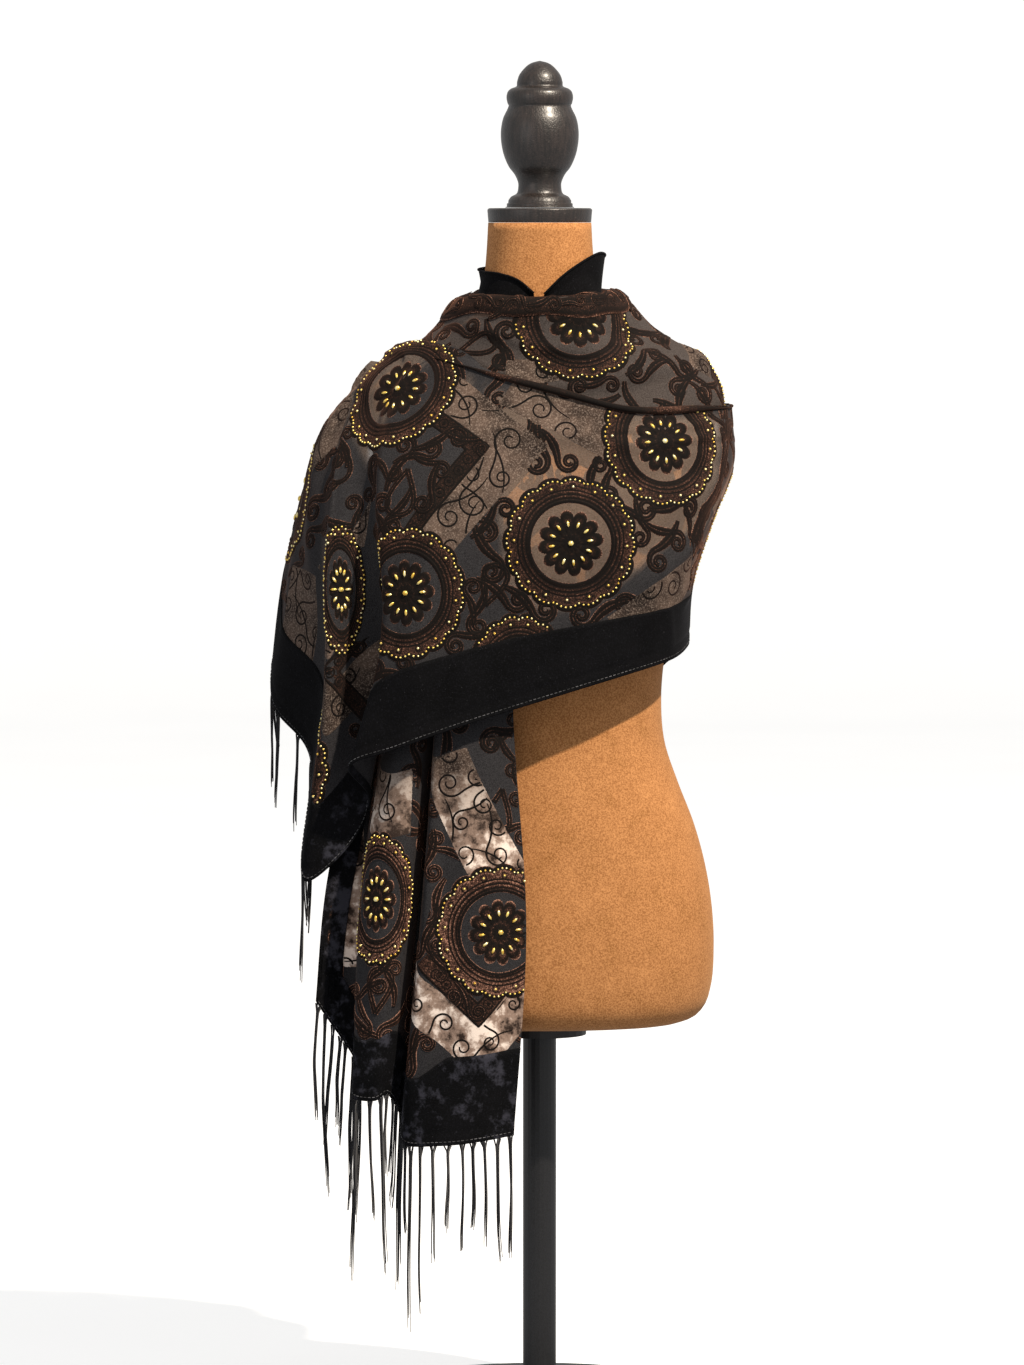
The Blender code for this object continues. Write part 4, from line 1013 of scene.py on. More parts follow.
SEE_DEPTH, SEE_SOFT, SEE_FACING, YOKE_SHEER = 0.030, 3, (0.35, 0.75), 0.12
yoke_sheet = add_sheet("neck_wrap_velvet", yoke.grid, devore, "velvet", True, taupe=yoke.taupe,
                       sheer=np.full(yoke.taupe.shape, YOKE_SHEER))
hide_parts("neck_wrap")
tail_sheet = add_sheet("hanging_end_velvet", tail.grid, devore, "velvet", taupe=tail.taupe,
                       sheer=np.zeros(tail.taupe.shape))
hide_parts("hanging_end")
wrap_sheet = add_sheet("wrap_velvet", wrap.grid, devore, "velvet", taupe=wrap.taupe,
                       sheer=sheer_field(wrap, [yoke_tree, tail_tree]))
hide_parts("back_panel", "front_panel", "thrown_end")

# %% [markdown]
# ## Pile with real height
#
# The medallions, scrolls and bands stand about half a millimetre above the ground, and their burnt
# edges are sheared lower and catch the light, so each motif is a small relief: a grid of spots with a
# height and a tone. The tone runs from 0, black pile, to 1, the pale brown of a sheared edge, which is
# partly the pile's own brown and partly painted highlight.

# %% Relief collector
class Relief:
    """Gathers many small reliefs on one sheet into one piece."""

    def __init__(self, cloth, above=None):
        self.cloth, self.above, self.points, self.faces, self.tones, self.count = cloth, above, [], [], [], 0

    def add(self, spots, heights, tones, ringed=False, keep=None):
        """Adds a grid of spots, with heights in millimetres. Faces off the sheet, or not kept, are left out."""
        place, normal, _, _ = self.cloth.steps(spots)
        rows, columns = spots.shape[:2]
        heights = np.broadcast_to(np.asarray(heights, float), (rows, columns))
        on = self.cloth.inside(spots) if keep is None else self.cloth.inside(spots) & keep
        if self.above is not None:
            on &= self.cloth.read(spots, self.above[..., None])[..., 0] >= -UNDER_BAND
        faces = np.array(sheet_faces(rows, columns, ringed)).reshape(-1, 4)[:, ::-1]
        faces = faces[on.reshape(-1)[faces].all(axis=1)]
        self.points.append((place + normal * heights[..., None] * MM).reshape(-1, 3))
        self.tones.append(np.broadcast_to(np.asarray(tones, float), (rows, columns)).reshape(-1))
        self.faces.append(faces + self.count)
        self.count += rows * columns

    def piece(self, name, finish, slot):
        """The gathered reliefs as one object, without unused points."""
        points, faces = np.concatenate(self.points), np.concatenate(self.faces)
        used, places = np.unique(faces, return_inverse=True)
        mesh = bpy.data.meshes.new(name)
        mesh.from_pydata(points[used].tolist(), [], places.reshape(faces.shape).tolist())
        store(mesh, "tone", np.concatenate(self.tones)[used])
        print(name, len(faces), "faces")
        return add_object(name, mesh, finish)

# %% Motif pile material
motif_pile, tree, shader = new_material("silk_pile_with_painted_edge_light", Roughness=0.85, Sheen_Weight=0.3,
                                        Sheen_Roughness=0.4, Sheen_Tint="#A9745C", Specular_IOR_Level=0.15)
place = add(tree, "TexCoord", out="Object")
nap = add(tree, "TexNoise", Vector=place, Scale=1 / (1.3 * MM), Detail=2, Roughness=0.7)
brush = add(tree, "TexNoise", Vector=place, Scale=1 / (24 * MM), Detail=2)
tone = add(tree, "Attribute", {"attribute_name": "tone"}, out="Fac")
# Low down the tone is raised by a painted sheen of the nap stroked the other way.
for field, times, plus in ((nap, 1.3, -0.62), (brush, 0.3, -0.15), (painted_nap_sheen(tree, place), 0.16, 0.0)):
    shift = add(tree, "Math", TIMES_PLUS, n_0=field, n_1=times, n_2=plus)
    tone = add(tree, "Math", PLUS, n_0=tone, n_1=shift)
# The pale end of these tones, on the sheared edges, is partly painted highlight.
pile_tones = ((0.0, "#050303"), (0.3, "#0C0806"), (0.5, "#190F0B"), (0.72, "#412A21"), (1.0, "#A87C68"))
fill(tree, shader, Base_Color=add(tree, "ValToRGB", stops=pile_tones, Fac=tone),
     Normal=add(tree, "Bump", Height=nap, Strength=0.4, Distance=0.4 * MM))

# %% Medallion and flower drawings
AROUND = 144
LOBES, OUTER, LOBE_DEPTH, LOBE_POWER = 16, 61.5, 4.0, 0.6
CHAIN_IN, CHAIN_PITCH, CHAIN_POINTS, DOT_RADIUS = 4.4, 4.6, 1440, 54.0
LOBE_RING, LOBE_RING_WIDTH, LOBE_RING_LIFT, LOBE_RING_POINTS = 3.1, 1.6, 0.5, 13
# From the scalloped edge inwards: how far in, height and tone; then rings by radius, height and tone
RIM = ((0, -0.1, 0.8), (0.8, 0.5, 0.3), (2.3, 0.75, 0.0), (4.4, 0.6, 0.12), (6.4, 0.7, 0.62), (9.0, 0.7, 0.5))
RINGS = (
    (51.6, 0.7, 0.55), (50.5, 0.2, 0.0), (49.4, 0.7, 0.6), (47.8, 0.75, 0.45), (46.4, 0.2, 0.0),
    (45.2, 0.75, 0.6), (43.8, 0.75, 0.4), (42.6, 0.2, 0.0), (41.5, 0.75, 0.4), (40.2, 0.8, 0.0),
    (38.9, 0.6, 0.15), (38.0, -0.1, 0.85),
)
PETALS, FLOWER_OUTER, PETAL_DEPTH, OVAL_RADIUS = 12, 32.0, 6.5, 18.5
FLOWER_RINGS = ((1.0, -0.1, 0.85), (0.95, 0.5, 0.5), (0.86, 0.65, 0.12), (0.72, 0.6, 0.5), (0.58, 0.62, 0.3),
                (0.42, 0.6, 0.1), (0.30, 0.35, 0.4), (0.26, 0.6, 0.12), (0.12, 0.7, 0.05), (0.02, 0.7, 0.05))


def polar(radii, turns, turn, width):
    """Flat places, in metres, at radii in millimetres and turns in radians, turned by degrees and narrowed."""
    turns = turns + math.radians(turn)
    return np.stack([width * radii * np.cos(turns), radii * np.sin(turns)], axis=-1) * MM


def lobed(turns):
    """The medallion's scalloped outer radius."""
    return OUTER + LOBE_DEPTH * np.abs(np.sin(LOBES / 2 * turns)) ** LOBE_POWER


def add_medallion(relief, spot, turn, width):
    """The scalloped ring and the petalled flower inside it."""
    turns = 2 * np.pi * np.arange(AROUND) / AROUND
    radii = [lobed(turns) - inwards for inwards, _, _ in RIM] + [np.full(AROUND, ring[0]) for ring in RINGS]
    heights, tones = zip(*[row[1:] for row in RIM + RINGS])
    spots = relief.cloth.walk(spot, polar(np.stack(radii, axis=1), turns[:, None], turn, width))
    relief.add(spots, heights, tones, ringed=True)
    petal = FLOWER_OUTER - PETAL_DEPTH * (1 - np.abs(np.cos(PETALS / 2 * turns)) ** 0.7)
    parts, heights, tones = (np.array(values) for values in zip(*FLOWER_RINGS))
    spots = relief.cloth.walk(spot, polar(petal[:, None] * parts, turns[:, None], turn, width))
    groove = np.abs(np.sin(PETALS / 2 * turns))[:, None] ** 6 * ((parts > 0.4) & (parts < 0.98))
    relief.add(spots, heights - 0.4 * groove, tones * (1 - 0.7 * groove), ringed=True)
    circle = np.linspace(0, 2 * np.pi, LOBE_RING_POINTS)
    for lobe in 2 * np.pi * (np.arange(LOBES) + 0.5) / LOBES:
        middle = DOT_RADIUS * np.array([math.cos(lobe), math.sin(lobe)])
        ring = middle + LOBE_RING * np.stack([np.cos(circle), np.sin(circle)], axis=1)
        ring[:, 0] *= width
        add_ribbon(relief, spot, ring, LOBE_RING_WIDTH, -0.1, GROOVE, taper=False, turn=turn, lift=LOBE_RING_LIFT)

# %% Beads
GOLD_SIDES = 6
DOME = ((1.0, 0.05), (0.8, 0.72))       # rings of a bead: part of its radius, part of its height
BEAD, DOT_BEAD, CENTRE_BEAD = (1.1, 1.1, 1.3), (1.3, 1.3, 1.4), (2.9, 2.6, 2.4)
OVAL_BEAD = (3.3, 1.35, 1.6)


class Beadwork:
    """Gathers the beads of one sheet: each is a small dome, long or round, sewn flat to the pile."""

    def __init__(self, cloth, above):
        self.cloth, self.above, self.points, self.count = cloth, above, [], 0

    def add(self, spots, towards, size):
        """A bead at each spot, its length along the line to the place in towards."""
        long, wide, high = size
        clear = self.cloth.inside(spots)
        clear &= self.cloth.read(spots, self.above[..., None])[..., 0] > long * MM
        spots, towards = spots[clear], np.broadcast_to(towards, spots.shape[:-1] + (3,))[clear]
        place, normal, _, _ = self.cloth.steps(spots)
        ahead = towards - place
        ahead = unit(ahead - normal * dot(ahead, normal)[:, None])
        aside = np.cross(normal, ahead)
        place = place + normal * PILE_TOP
        turns = 2 * np.pi * np.arange(GOLD_SIDES) / GOLD_SIDES
        rings = [place[:, None] + (ahead[:, None] * (long * part * np.cos(turns))[:, None]
                                   + aside[:, None] * (wide * part * np.sin(turns))[:, None]
                                   + normal[:, None] * (high * up)) * MM for part, up in DOME]
        top = place[:, None] + normal[:, None] * high * MM
        self.points.append(np.concatenate(rings + [top], axis=1).reshape(-1, 3))
        self.count += len(place)

    def piece(self, name, finish, slot):
        """All the beads as one object."""
        sides = GOLD_SIDES
        walls = [(i, (i + 1) % sides, (i + 1) % sides + sides, i + sides) for i in range(sides)]
        caps = [(i + sides, (i + 1) % sides + sides, 2 * sides) for i in range(sides)]
        faces = [tuple(corner + bead * (2 * sides + 1) for corner in face)
                 for bead in range(self.count) for face in walls + caps]
        mesh = bpy.data.meshes.new(name)
        mesh.from_pydata(np.concatenate(self.points).tolist(), [], faces)
        print(name, self.count, "beads")
        return add_object(name, mesh, finish)


PILE_TOP = 0.45 * MM


def add_medallion_beads(beads, spot, turn, width):
    """The chain inside the scallops, a dot in each lobe, twelve ovals on the petals and the middle bead."""
    fine = np.linspace(0, 2 * np.pi, CHAIN_POINTS)
    line = polar(lobed(fine) - CHAIN_IN, fine, turn, width)
    reach = along(line)
    at = np.linspace(0, reach[-1], round(reach[-1] / MM / CHAIN_PITCH), endpoint=False)
    middle = beads.cloth.steps(spot)[0]
    chain = np.stack([np.interp(at, reach, line[:, k]) for k in (0, 1)], axis=1)
    beads.add(beads.cloth.walk(spot, chain), middle, BEAD)
    lobes = 2 * np.pi * (np.arange(LOBES) + 0.5) / LOBES
    beads.add(beads.cloth.walk(spot, polar(DOT_RADIUS, lobes, turn, width)), middle, DOT_BEAD)
    petals = 2 * np.pi * np.arange(PETALS) / PETALS
    beads.add(beads.cloth.walk(spot, polar(OVAL_RADIUS, petals, turn, width)), middle, OVAL_BEAD)
    beads.add(spot[None], middle + np.array([0.01, 0, 0]), CENTRE_BEAD)


gold_lined, tree, shader = new_material("gold_lined_glass_beads", Roughness=0.25, Metallic=0.5)
# The beads' gold differs at random, and its palest yellow-white is a painted glint.
painted_glints = add(tree, "TexNoise", Vector=add(tree, "TexCoord", out="Object"), Scale=1 / (4 * MM), Detail=1)
gold_and_glint_tones = ((0.35, "#E3B548"), (0.5, "#F6DA78"), (0.65, "#FFF4BE"))
fill(tree, shader, Base_Color=add(tree, "ValToRGB", stops=gold_and_glint_tones, Fac=painted_glints))

# %% Scroll drawings
CURL_STEM, STEM_BEND, CURL_OUT, CURL_IN, CURL_TURNS, CURL_POINTS = 30.0, 34.0, 9.4, 2.3, 1.45, 46
STEM_WIDTH, DISC_WIDTH, LOOP_POINTS = 8.8, 5.0, 34
# Across a ribbon of pile: part of the half width, height and how much paler it is
RIBBON = ((-1.0, -0.1, 0.80), (-0.78, 0.6, 0.25), (-0.25, 0.8, 0.0), (0.0, 0.5, 0.55), (0.25, 0.8, 0.0),
          (0.78, 0.6, 0.25), (1.0, -0.1, 0.80))
GROOVE = ((-1.0, -0.1, 0.0), (-0.5, 0.22, 0.0), (0.5, 0.22, 0.0), (1.0, -0.1, 0.0))


def turned(flat, degrees):
    """Flat places turned round the origin."""
    c, s = math.cos(math.radians(degrees)), math.sin(math.radians(degrees))
    return np.stack([flat[..., 0] * c - flat[..., 1] * s, flat[..., 0] * s + flat[..., 1] * c], axis=-1)


def curl_line(size, hand):
    """A stem that bends one way and winds up the other way, round 0, 0, with the stem's start to the right."""
    winding = 2 * np.pi * CURL_TURNS
    wound = winding * (CURL_OUT - CURL_IN) / math.log(CURL_OUT / CURL_IN)
    reach = np.linspace(0, CURL_STEM + wound, CURL_POINTS)
    radius = CURL_OUT - (CURL_OUT - CURL_IN) * np.clip((reach - CURL_STEM) / wound, 0, 1)
    bend = np.where(reach < CURL_STEM, -1 / STEM_BEND, 1 / radius) * hand
    step = reach[1]
    turn = np.concatenate([[0], np.cumsum((bend[1:] + bend[:-1]) / 2 * step)])
    middle_turn = (turn[1:] + turn[:-1]) / 2
    line = np.stack([np.cos(middle_turn), np.sin(middle_turn)], axis=1) * step
    line = np.concatenate([[[0, 0]], np.cumsum(line, axis=0)])
    line -= line[-1] + CURL_IN * hand * np.array([-math.sin(turn[-1]), math.cos(turn[-1])])
    back = -math.atan2(line[0, 1], line[0, 0])
    c, s = math.cos(back), math.sin(back)
    return size * np.stack([line[:, 0] * c - line[:, 1] * s, line[:, 0] * s + line[:, 1] * c], axis=1)


def curl_width(size):
    """The width of a curl's ribbon: a fat stem and a slimmer winding."""
    part = np.linspace(0, 1, CURL_POINTS)
    return size * (STEM_WIDTH + (DISC_WIDTH - STEM_WIDTH) * ramp(part, 0.15, 0.5))


def loop_line(heading, length, width):
    """A teardrop outline round 0, 0, with its point at the back."""
    turn = np.linspace(0, 2 * np.pi, LOOP_POINTS)
    ahead, aside = -length * np.cos(turn) / 2, width * np.sin(turn) * np.sin(turn / 2) ** 1.5 / 1.5
    return turned(np.stack([ahead, aside], axis=1), heading)


def add_ribbon(relief, spot, line, width, tone, section=RIBBON, keep=None, taper=True, turn=0, lift=0.0):
    """A ribbon of pile along a flat line in millimetres. Keep says at which spots it may lie."""
    way = unit(np.gradient(line, axis=0))
    aside = np.stack([-way[:, 1], way[:, 0]], axis=1)
    part = np.linspace(0, 1, len(line))
    half = width / 2 * (np.minimum(1, 0.45 + 2.5 * part) * (1 - 0.25 * part ** 4) if taper else np.ones(len(line)))
    across, heights, paler = (np.array(values) for values in zip(*section))
    flat = line[:, None] + aside[:, None] * (half[:, None] * across)[..., None]
    spots = relief.cloth.walk(spot, turned(flat, turn) * MM)
    relief.add(spots, heights + lift, tone + paler, keep=None if keep is None else keep(relief.cloth, spots))

# %% [markdown]
# ## Scroll work
#
# The sheer fields are filled with curls and teardrop loops of pile, drawn here from plain numbers. Those
# that show in the photo are listed one by one, and then more curls go wherever there is room, each with its
# stem towards its neighbour. On a plain panel of pile a curl is only a thin line. Each is cut off where
# a medallion or a panel begins, because there the pile simply runs on.

# %% Where scrolls may lie
MEDALLION_KEEP, PANEL_KEEP = 0.052, 0.0006


def clear_of_medallions(cloth, spots):
    """Which spots lie outside the medallions."""
    place = cloth.steps(spots)[0]
    return np.linalg.norm(place[..., None, :] - cloth.middles, axis=-1).min(axis=-1) > MEDALLION_KEEP


def in_sheer(cloth, spots):
    """Where a scroll of pile may lie: clear of the medallions and outside the pile panels."""
    return clear_of_medallions(cloth, spots) & (cloth.read(spots, cloth.taupe[..., None])[..., 0] < PANEL_KEEP)


def in_panel(cloth, spots):
    """Where the thin lines on a pile panel may lie."""
    return clear_of_medallions(cloth, spots) & (cloth.read(spots, cloth.taupe[..., None])[..., 0] > PANEL_KEEP)

# %% Curls listed one by one
# Columns: side seen from, sideways, height, where its stem comes from, its hand and its size
CURLS = {
    "wrap": (
        ("front", -103, 934, 200, 1, 1), ("front", -93, 912, 150, -1, 0.85), ("front", -158, 919, 300, 1, 0.85),
        ("front", -162, 890, 100, -1, 0.9), ("front", -178, 882, 280, 1, 0.9), ("front", -173, 859, 60, -1, 0.8),
        ("front", -139, 861, 70, 1, 1), ("front", -201, 892, 90, 1, 1), ("front", -211, 919, 60, -1, 0.9),
        ("front", -46, 819, 110, -1, 1.2), ("front", -60, 766, 80, 1, 1), ("front", -62, 805, 270, -1, 0.9),
        ("front", 29, 922, 130, 1, 1), ("front", 38, 892, 60, -1, 1), ("front", 65, 893, 170, 1, 1),
        ("front", 101, 877, 180, 1, 1.1), ("front", 141, 877, 180, -1, 1.1), ("front", 112, 826, 60, 1, 1.1),
        ("front", 131, 845, 150, -1, 1), ("front", 148, 851, 120, 1, 0.8), ("front", 185, 964, 200, 1, 1),
        ("front", 175, 948, 120, -1, 0.9), ("front", -191, 689, 60, 1, 0.95), ("front", -182, 717, 250, -1, 0.9),
        ("front", -171, 745, 90, 1, 1), ("front", -175, 666, 60, -1, 0.8), ("front", -229, 771, 30, 1, 1.1),
        ("front", -227, 719, 60, -1, 1.3), ("front", -69, 974, 200, 1, 1.2), ("front", -29, 942, 260, -1, 1.3),
        ("front", -62, 881, 80, 1, 1.3), ("front", -83, 842, 60, -1, 1.1), ("front", -1, 971, 180, -1, 1.2),
        ("front", -37, 906, 100, 1, 1),
    ),
    "tail": (
        ("front", -45, 655, 20, 1, 1.15), ("front", -60, 625, 100, -1, 1.1), ("front", -54, 598, 70, 1, 0.95),
        ("front", -41, 576, 80, -1, 1), ("front", -84, 646, 30, 1, 1), ("front", -101, 533, 90, 1, 1),
        ("front", -109, 494, 60, -1, 0.95), ("front", -99, 462, 90, 1, 1), ("front", -118, 459, 50, -1, 1),
        ("front", -83, 415, 180, 1, 1), ("front", -94, 436, 110, -1, 0.8), ("front", -153, 425, 70, 1, 0.95),
        ("front", -168, 382, 100, -1, 0.9), ("front", -145, 377, 50, 1, 1), ("front", -138, 441, 270, -1, 0.9),
        ("front", -117, 409, 100, 1, 0.8), ("front", -26, 407, 200, -1, 0.8), ("front", -71, 552, 110, 1, 1.2),
        ("front", -102, 594, 100, -1, 1.1), ("front", -144, 591, 90, 1, 1.1),
    ),
    "yoke": (
        ("front", -66, 1048, 180, 1, 1), ("front", -37, 1015, 110, -1, 1.1), ("front", -75, 1014, 200, 1, 0.9),
        ("front", -91, 1040, 250, -1, 0.9), ("front", 112, 1037, 160, -1, 1), ("front", 138, 1008, 150, 1, 1.1),
        ("front", 93, 1006, 20, -1, 1), ("front", -117, 1018, 30, 1, 0.9), ("front", 2, 1006, 0, 1, 0.8),
        ("front", 67, 994, 180, -1, 0.8),
    ),
}
# Columns: side seen from, sideways, height, heading, length and width
LOOPS = {
    "wrap": (("front", -130, 893, -95, 46, 30), ("front", -190, 919, -85, 42, 26), ("front", -46, 806, 70, 40, 24)),
    "tail": (("front", -40, 590, -100, 46, 26), ("front", -152, 420, 80, 44, 24)),
    "yoke": (("front", -60, 1030, 20, 40, 20),),
}

# %% Curls over the rest of the sheet
CURL_GAP, MEDALLION_GAP, LINE_WIDTH, LINE_TONE, LINE_SIZE = 0.0262, 0.066, 2.0, 0.0, 1.15
LOOP_WIDTH, CURL_TONE, CURL_SCALE = 6.0, 0.08, 1.16
ABOVE_BORDER, STEM_SWING, CURL_SIZES = 0.004, 25, (0.85, 1.2)


def add_curl(relief, spot, stem_from, hand, size):
    """A curl of pile on the sheer ground, or the same curl as a thin line on a pile panel."""
    cloth = relief.cloth
    size *= CURL_SCALE
    line = curl_line(size, hand)
    if cloth.read(spot, cloth.taupe[..., None])[0] < 0:
        add_ribbon(relief, spot, line, curl_width(size), CURL_TONE, keep=in_sheer, turn=stem_from)
    else:
        add_ribbon(relief, spot, line * LINE_SIZE, LINE_WIDTH, LINE_TONE, GROOVE, in_panel, turn=stem_from, lift=0.1)


def add_curls(relief, placed, seed):
    """The curls of the table, then more wherever there is room, each with its stem towards its neighbour."""
    cloth = relief.cloth
    random = np.random.default_rng(seed)
    middles = []
    for seen, sideways, height, stem_from, hand, size in placed:
        spot = cloth.spot(seen, sideways, height)
        add_curl(relief, spot, stem_from, hand, size)
        middles.append(cloth.steps(spot)[0])
    places = cloth.grid.reshape(-1, 3)
    away = np.linalg.norm(places[:, None] - cloth.middles, axis=-1).min(axis=-1)
    free = (away > MEDALLION_GAP) & (relief.above.reshape(-1) > ABOVE_BORDER)
    for i in random.permutation(np.flatnonzero(free)):
        gaps = np.linalg.norm(np.array(middles) - places[i], axis=-1)
        if gaps.min() < CURL_GAP:
            continue
        spot = np.array(divmod(i, cloth.rows), float)
        right, up = cloth.compass(spot)
        way = middles[int(gaps.argmin())] - places[i]
        stem_from = math.degrees(math.atan2(way @ up, way @ right)) + random.uniform(-STEM_SWING, STEM_SWING)
        add_curl(relief, spot, stem_from, 1 if random.random() < 0.5 else -1, random.uniform(*CURL_SIZES))
        middles.append(places[i])
    print(len(middles), "curls")

# %% Bands of rings
BAND_HALF, RING_PITCH, RING_POINTS = 9.0, 14.0, 19
BAND_RINGS = ((4.6, 1.7), (1.1, 2.0))      # radius and line width of a ring and of the dot inside it
BAND_SECTION = ((-9.0, -0.1, 0.6), (-8.3, 0.5, 0.1), (-7.2, 0.5, 0.1), (-6.5, 0.42, 0.42), (0, 0.42, 0.42),
                (6.5, 0.42, 0.42), (7.2, 0.5, 0.1), (8.3, 0.5, 0.1), (9.0, -0.1, 0.6))
ARM_POINTS = 60


def add_band(relief, spot, turn, arm):
    """A mitred corner of ring band, with its tip at the spot and two arms that run back from it."""
    across, heights, tones = (np.array(values) for values in zip(*BAND_SECTION))
    part = np.linspace(-1, 1, 2 * ARM_POINTS)[:, None]
    reach = arm + across
    flat = np.stack([np.where(part < 0, across, across - reach * part),
                     np.where(part < 0, reach * (part + 1) - arm, across)], axis=-1)
    spots = relief.cloth.walk(spot, turned(flat, turn - 45) * MM)
    relief.add(spots, heights, tones, keep=clear_of_medallions(relief.cloth, spots))
    circle = np.linspace(0, 2 * np.pi, RING_POINTS)
    for i in range(int(arm / RING_PITCH)):
        for middle in ((0, -i * RING_PITCH), (-i * RING_PITCH, 0))[: 1 if i == 0 else 2]:
            for radius, width in BAND_RINGS:
                line = np.array(middle) + radius * np.stack([np.cos(circle), np.sin(circle)], axis=1)
                add_ribbon(relief, spot, line, width, 0.06, GROOVE, clear_of_medallions, False, turn - 45, 0.35)

# %% Motifs on each stretch
UNDER_BAND = 0.010      # how far a motif runs on under the border
# Along a sheet's hem: sideways place and the border's width there, in millimetres
BAND_WIDTHS = {"wrap": ((-160, 76), (-30, 68), (100, 55)), "tail": ((-165, 58), (-120, 66), (-90, 84)),
               "yoke": ((0, 36), (1, 36))}

for seed, (key, cloth) in enumerate(cloths.items()):
    at, widths = np.array(BAND_WIDTHS[key]).T * MM
    cloth.band = np.interp(cloth.grid[:, -1, 0], at, widths)
    above = cloth.from_hem - cloth.band[:, None]
    pile, scrolls, gold = Relief(cloth, above), Relief(cloth, above), Beadwork(cloth, above)
    for row, spot in zip(MEDALLIONS[key], cloth.centres):
        add_medallion(pile, spot, *row[3:])
        add_medallion_beads(gold, spot, *row[3:])
    for seen, sideways, height, turn, inner, outer, arm in CHEVRONS[key]:
        if inner == BAND_HALF:
            add_band(pile, cloth.spot(seen, sideways, height), turn, arm)
    for seen, sideways, height, heading, length, width in LOOPS[key]:
        add_ribbon(scrolls, cloth.spot(seen, sideways, height), loop_line(heading, length, width), LOOP_WIDTH,
                   CURL_TONE, keep=in_sheer, taper=False)
    add_curls(scrolls, CURLS[key], seed)
    cloth.pile = pile.piece(key + "_pile_motifs", motif_pile, "velvet")
    cloth.scrolls = scrolls.piece(key + "_pile_scrolls", motif_pile, "velvet")
    cloth.gold = gold.piece(key + "_gold_beads", gold_lined, "velvet")

# %% [markdown]
# ## Borders, hems and fringes
#
# The border is plain black velvet on both sides of the edge, turned under and stitched, so it is a
# thicker strip that wraps round the hem. The stitches pull it in a little in a line above the edge.

# %% Border strips
BORDER_TOP, BORDER_FOOT, BORDER_STEPS, CLOSER_BELOW, HEM_TURN = 0.9, 0.05, 24, 1.3, 0.008
STITCH_UP, STITCH_PITCH, STITCH_DIP, DIP_WIDTH = 0.0125, 0.0042, 0.6, 0.0022
SIDE_BORDER = 0.038


def rows_from_edge(distance, wanted):
    """For each line of distances that falls to 0 at its end, the places along it at the wanted distances."""
    places = np.arange(distance.shape[1])[::-1]
    return np.array([np.interp(row, line[::-1], places) for row, line in zip(wanted, distance)])


def border_strip(cloth, widths, spots_at):
    """A border as a relief: up from the turned-in hem, round the edge and over the face."""
    face = np.linspace(0, 1, BORDER_STEPS) ** CLOSER_BELOW * np.array(widths)[:, None]
    dip = np.exp(-(((face - STITCH_UP) / DIP_WIDTH) ** 2)) * STITCH_DIP
    flat = np.zeros((len(face), 1))
    wanted = np.concatenate([flat + HEM_TURN, flat, flat, face, face[:, -1:]], axis=1)
    heights = np.concatenate([flat - BORDER_TOP, flat - BORDER_TOP, flat, BORDER_TOP - dip, flat + BORDER_FOOT],
                             axis=1)
    strip = Relief(cloth)
    strip.add(spots_at(wanted), heights, 0.0)
    return strip


def up_from_hem(cloth):
    """Spots at distances up from the hem, for every column."""
    def at(wanted):
        rows = rows_from_edge(cloth.from_hem, wanted)
        columns = np.broadcast_to(np.arange(cloth.columns)[:, None], rows.shape)
        return np.stack([columns, rows], axis=-1)
    return at


def in_from_side(cloth):
    """Spots at distances in from the last column, for every row."""
    step = np.linalg.norm(np.diff(cloth.grid, axis=0), axis=2)
    from_side = np.concatenate([np.cumsum(step[::-1], axis=0)[::-1], np.zeros((1, cloth.rows))])

    def at(wanted):
        columns = rows_from_edge(from_side.T, wanted)
        rows = np.broadcast_to(np.arange(cloth.rows)[:, None], columns.shape)
        return np.stack([columns, rows], axis=-1)
    return at


wrap_border, tail_border, side_border = (
    border_strip(cloth, widths, spots_at(cloth)).piece(name, black_velvet, "black_velvet")
    for name, cloth, widths, spots_at in (
        ("wrap_border", wrap, wrap.band, up_from_hem),
        ("hanging_end_border", tail, tail.band, up_from_hem),
        ("hanging_end_side_border", tail, np.full(tail.rows, SIDE_BORDER), in_from_side),
    ))

# %% [markdown]
# ## The standing edge
#
# Round the neck the shawl's long edge stands up out of the wrap, so its black border shows as a low
# collar that is open in front. Velvet stands like this only because the border is double. It is one
# ring of sections by turn, each with its own top and radius, and it leans out a little.

# %% The standing edge round the neck
# Columns: turn in degrees from the front, top, radius
COLLAR = (
    (4, 1079, 56), (22, 1096, 57), (45, 1110, 58), (68, 1118, 61), (92, 1116, 63), (125, 1108, 62),
    (180, 1106, 62), (235, 1104, 61), (268, 1102, 59), (292, 1100, 57), (318, 1098, 56), (340, 1091, 55),
    (354, 1080, 55),
)
COLLAR_BOTTOM, COLLAR_FLARE, COLLAR_GAP = 1.0715, 0.004, 0.0025
COLLAR_SIZE = (150, 14)

table = np.array(COLLAR, float)
turns = np.linspace(table[0, 0], table[-1, 0], COLLAR_SIZE[0])
tops, radii = (smooth(table[:, 1:] * MM, table[:, 0], turns)).T
down = np.linspace(0, 1, COLLAR_SIZE[1])
reach = radii[:, None] - COLLAR_FLARE * np.sin(down * math.pi / 2)
angle = np.radians(turns)[:, None]
collar_grid = np.stack([reach * np.sin(angle), -reach * np.cos(angle),
                        tops[:, None] + (COLLAR_BOTTOM - tops[:, None]) * down], axis=-1)[::-1]
collar = Cloth(lay_over(collar_grid, form_tree, COLLAR_GAP))
collar_sheet = add_sheet("neck_edge_velvet", collar.grid, black_velvet, "black_velvet")
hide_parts("neck_edge")
print("neck edge", collar.grid.shape[:2])

# %% [markdown]
# ## Stitches
#
# The hem is held by a row of short stitches of a thread that is a little paler than the velvet. Each is
# its own thin tube, laid on the border's face close to the edge.

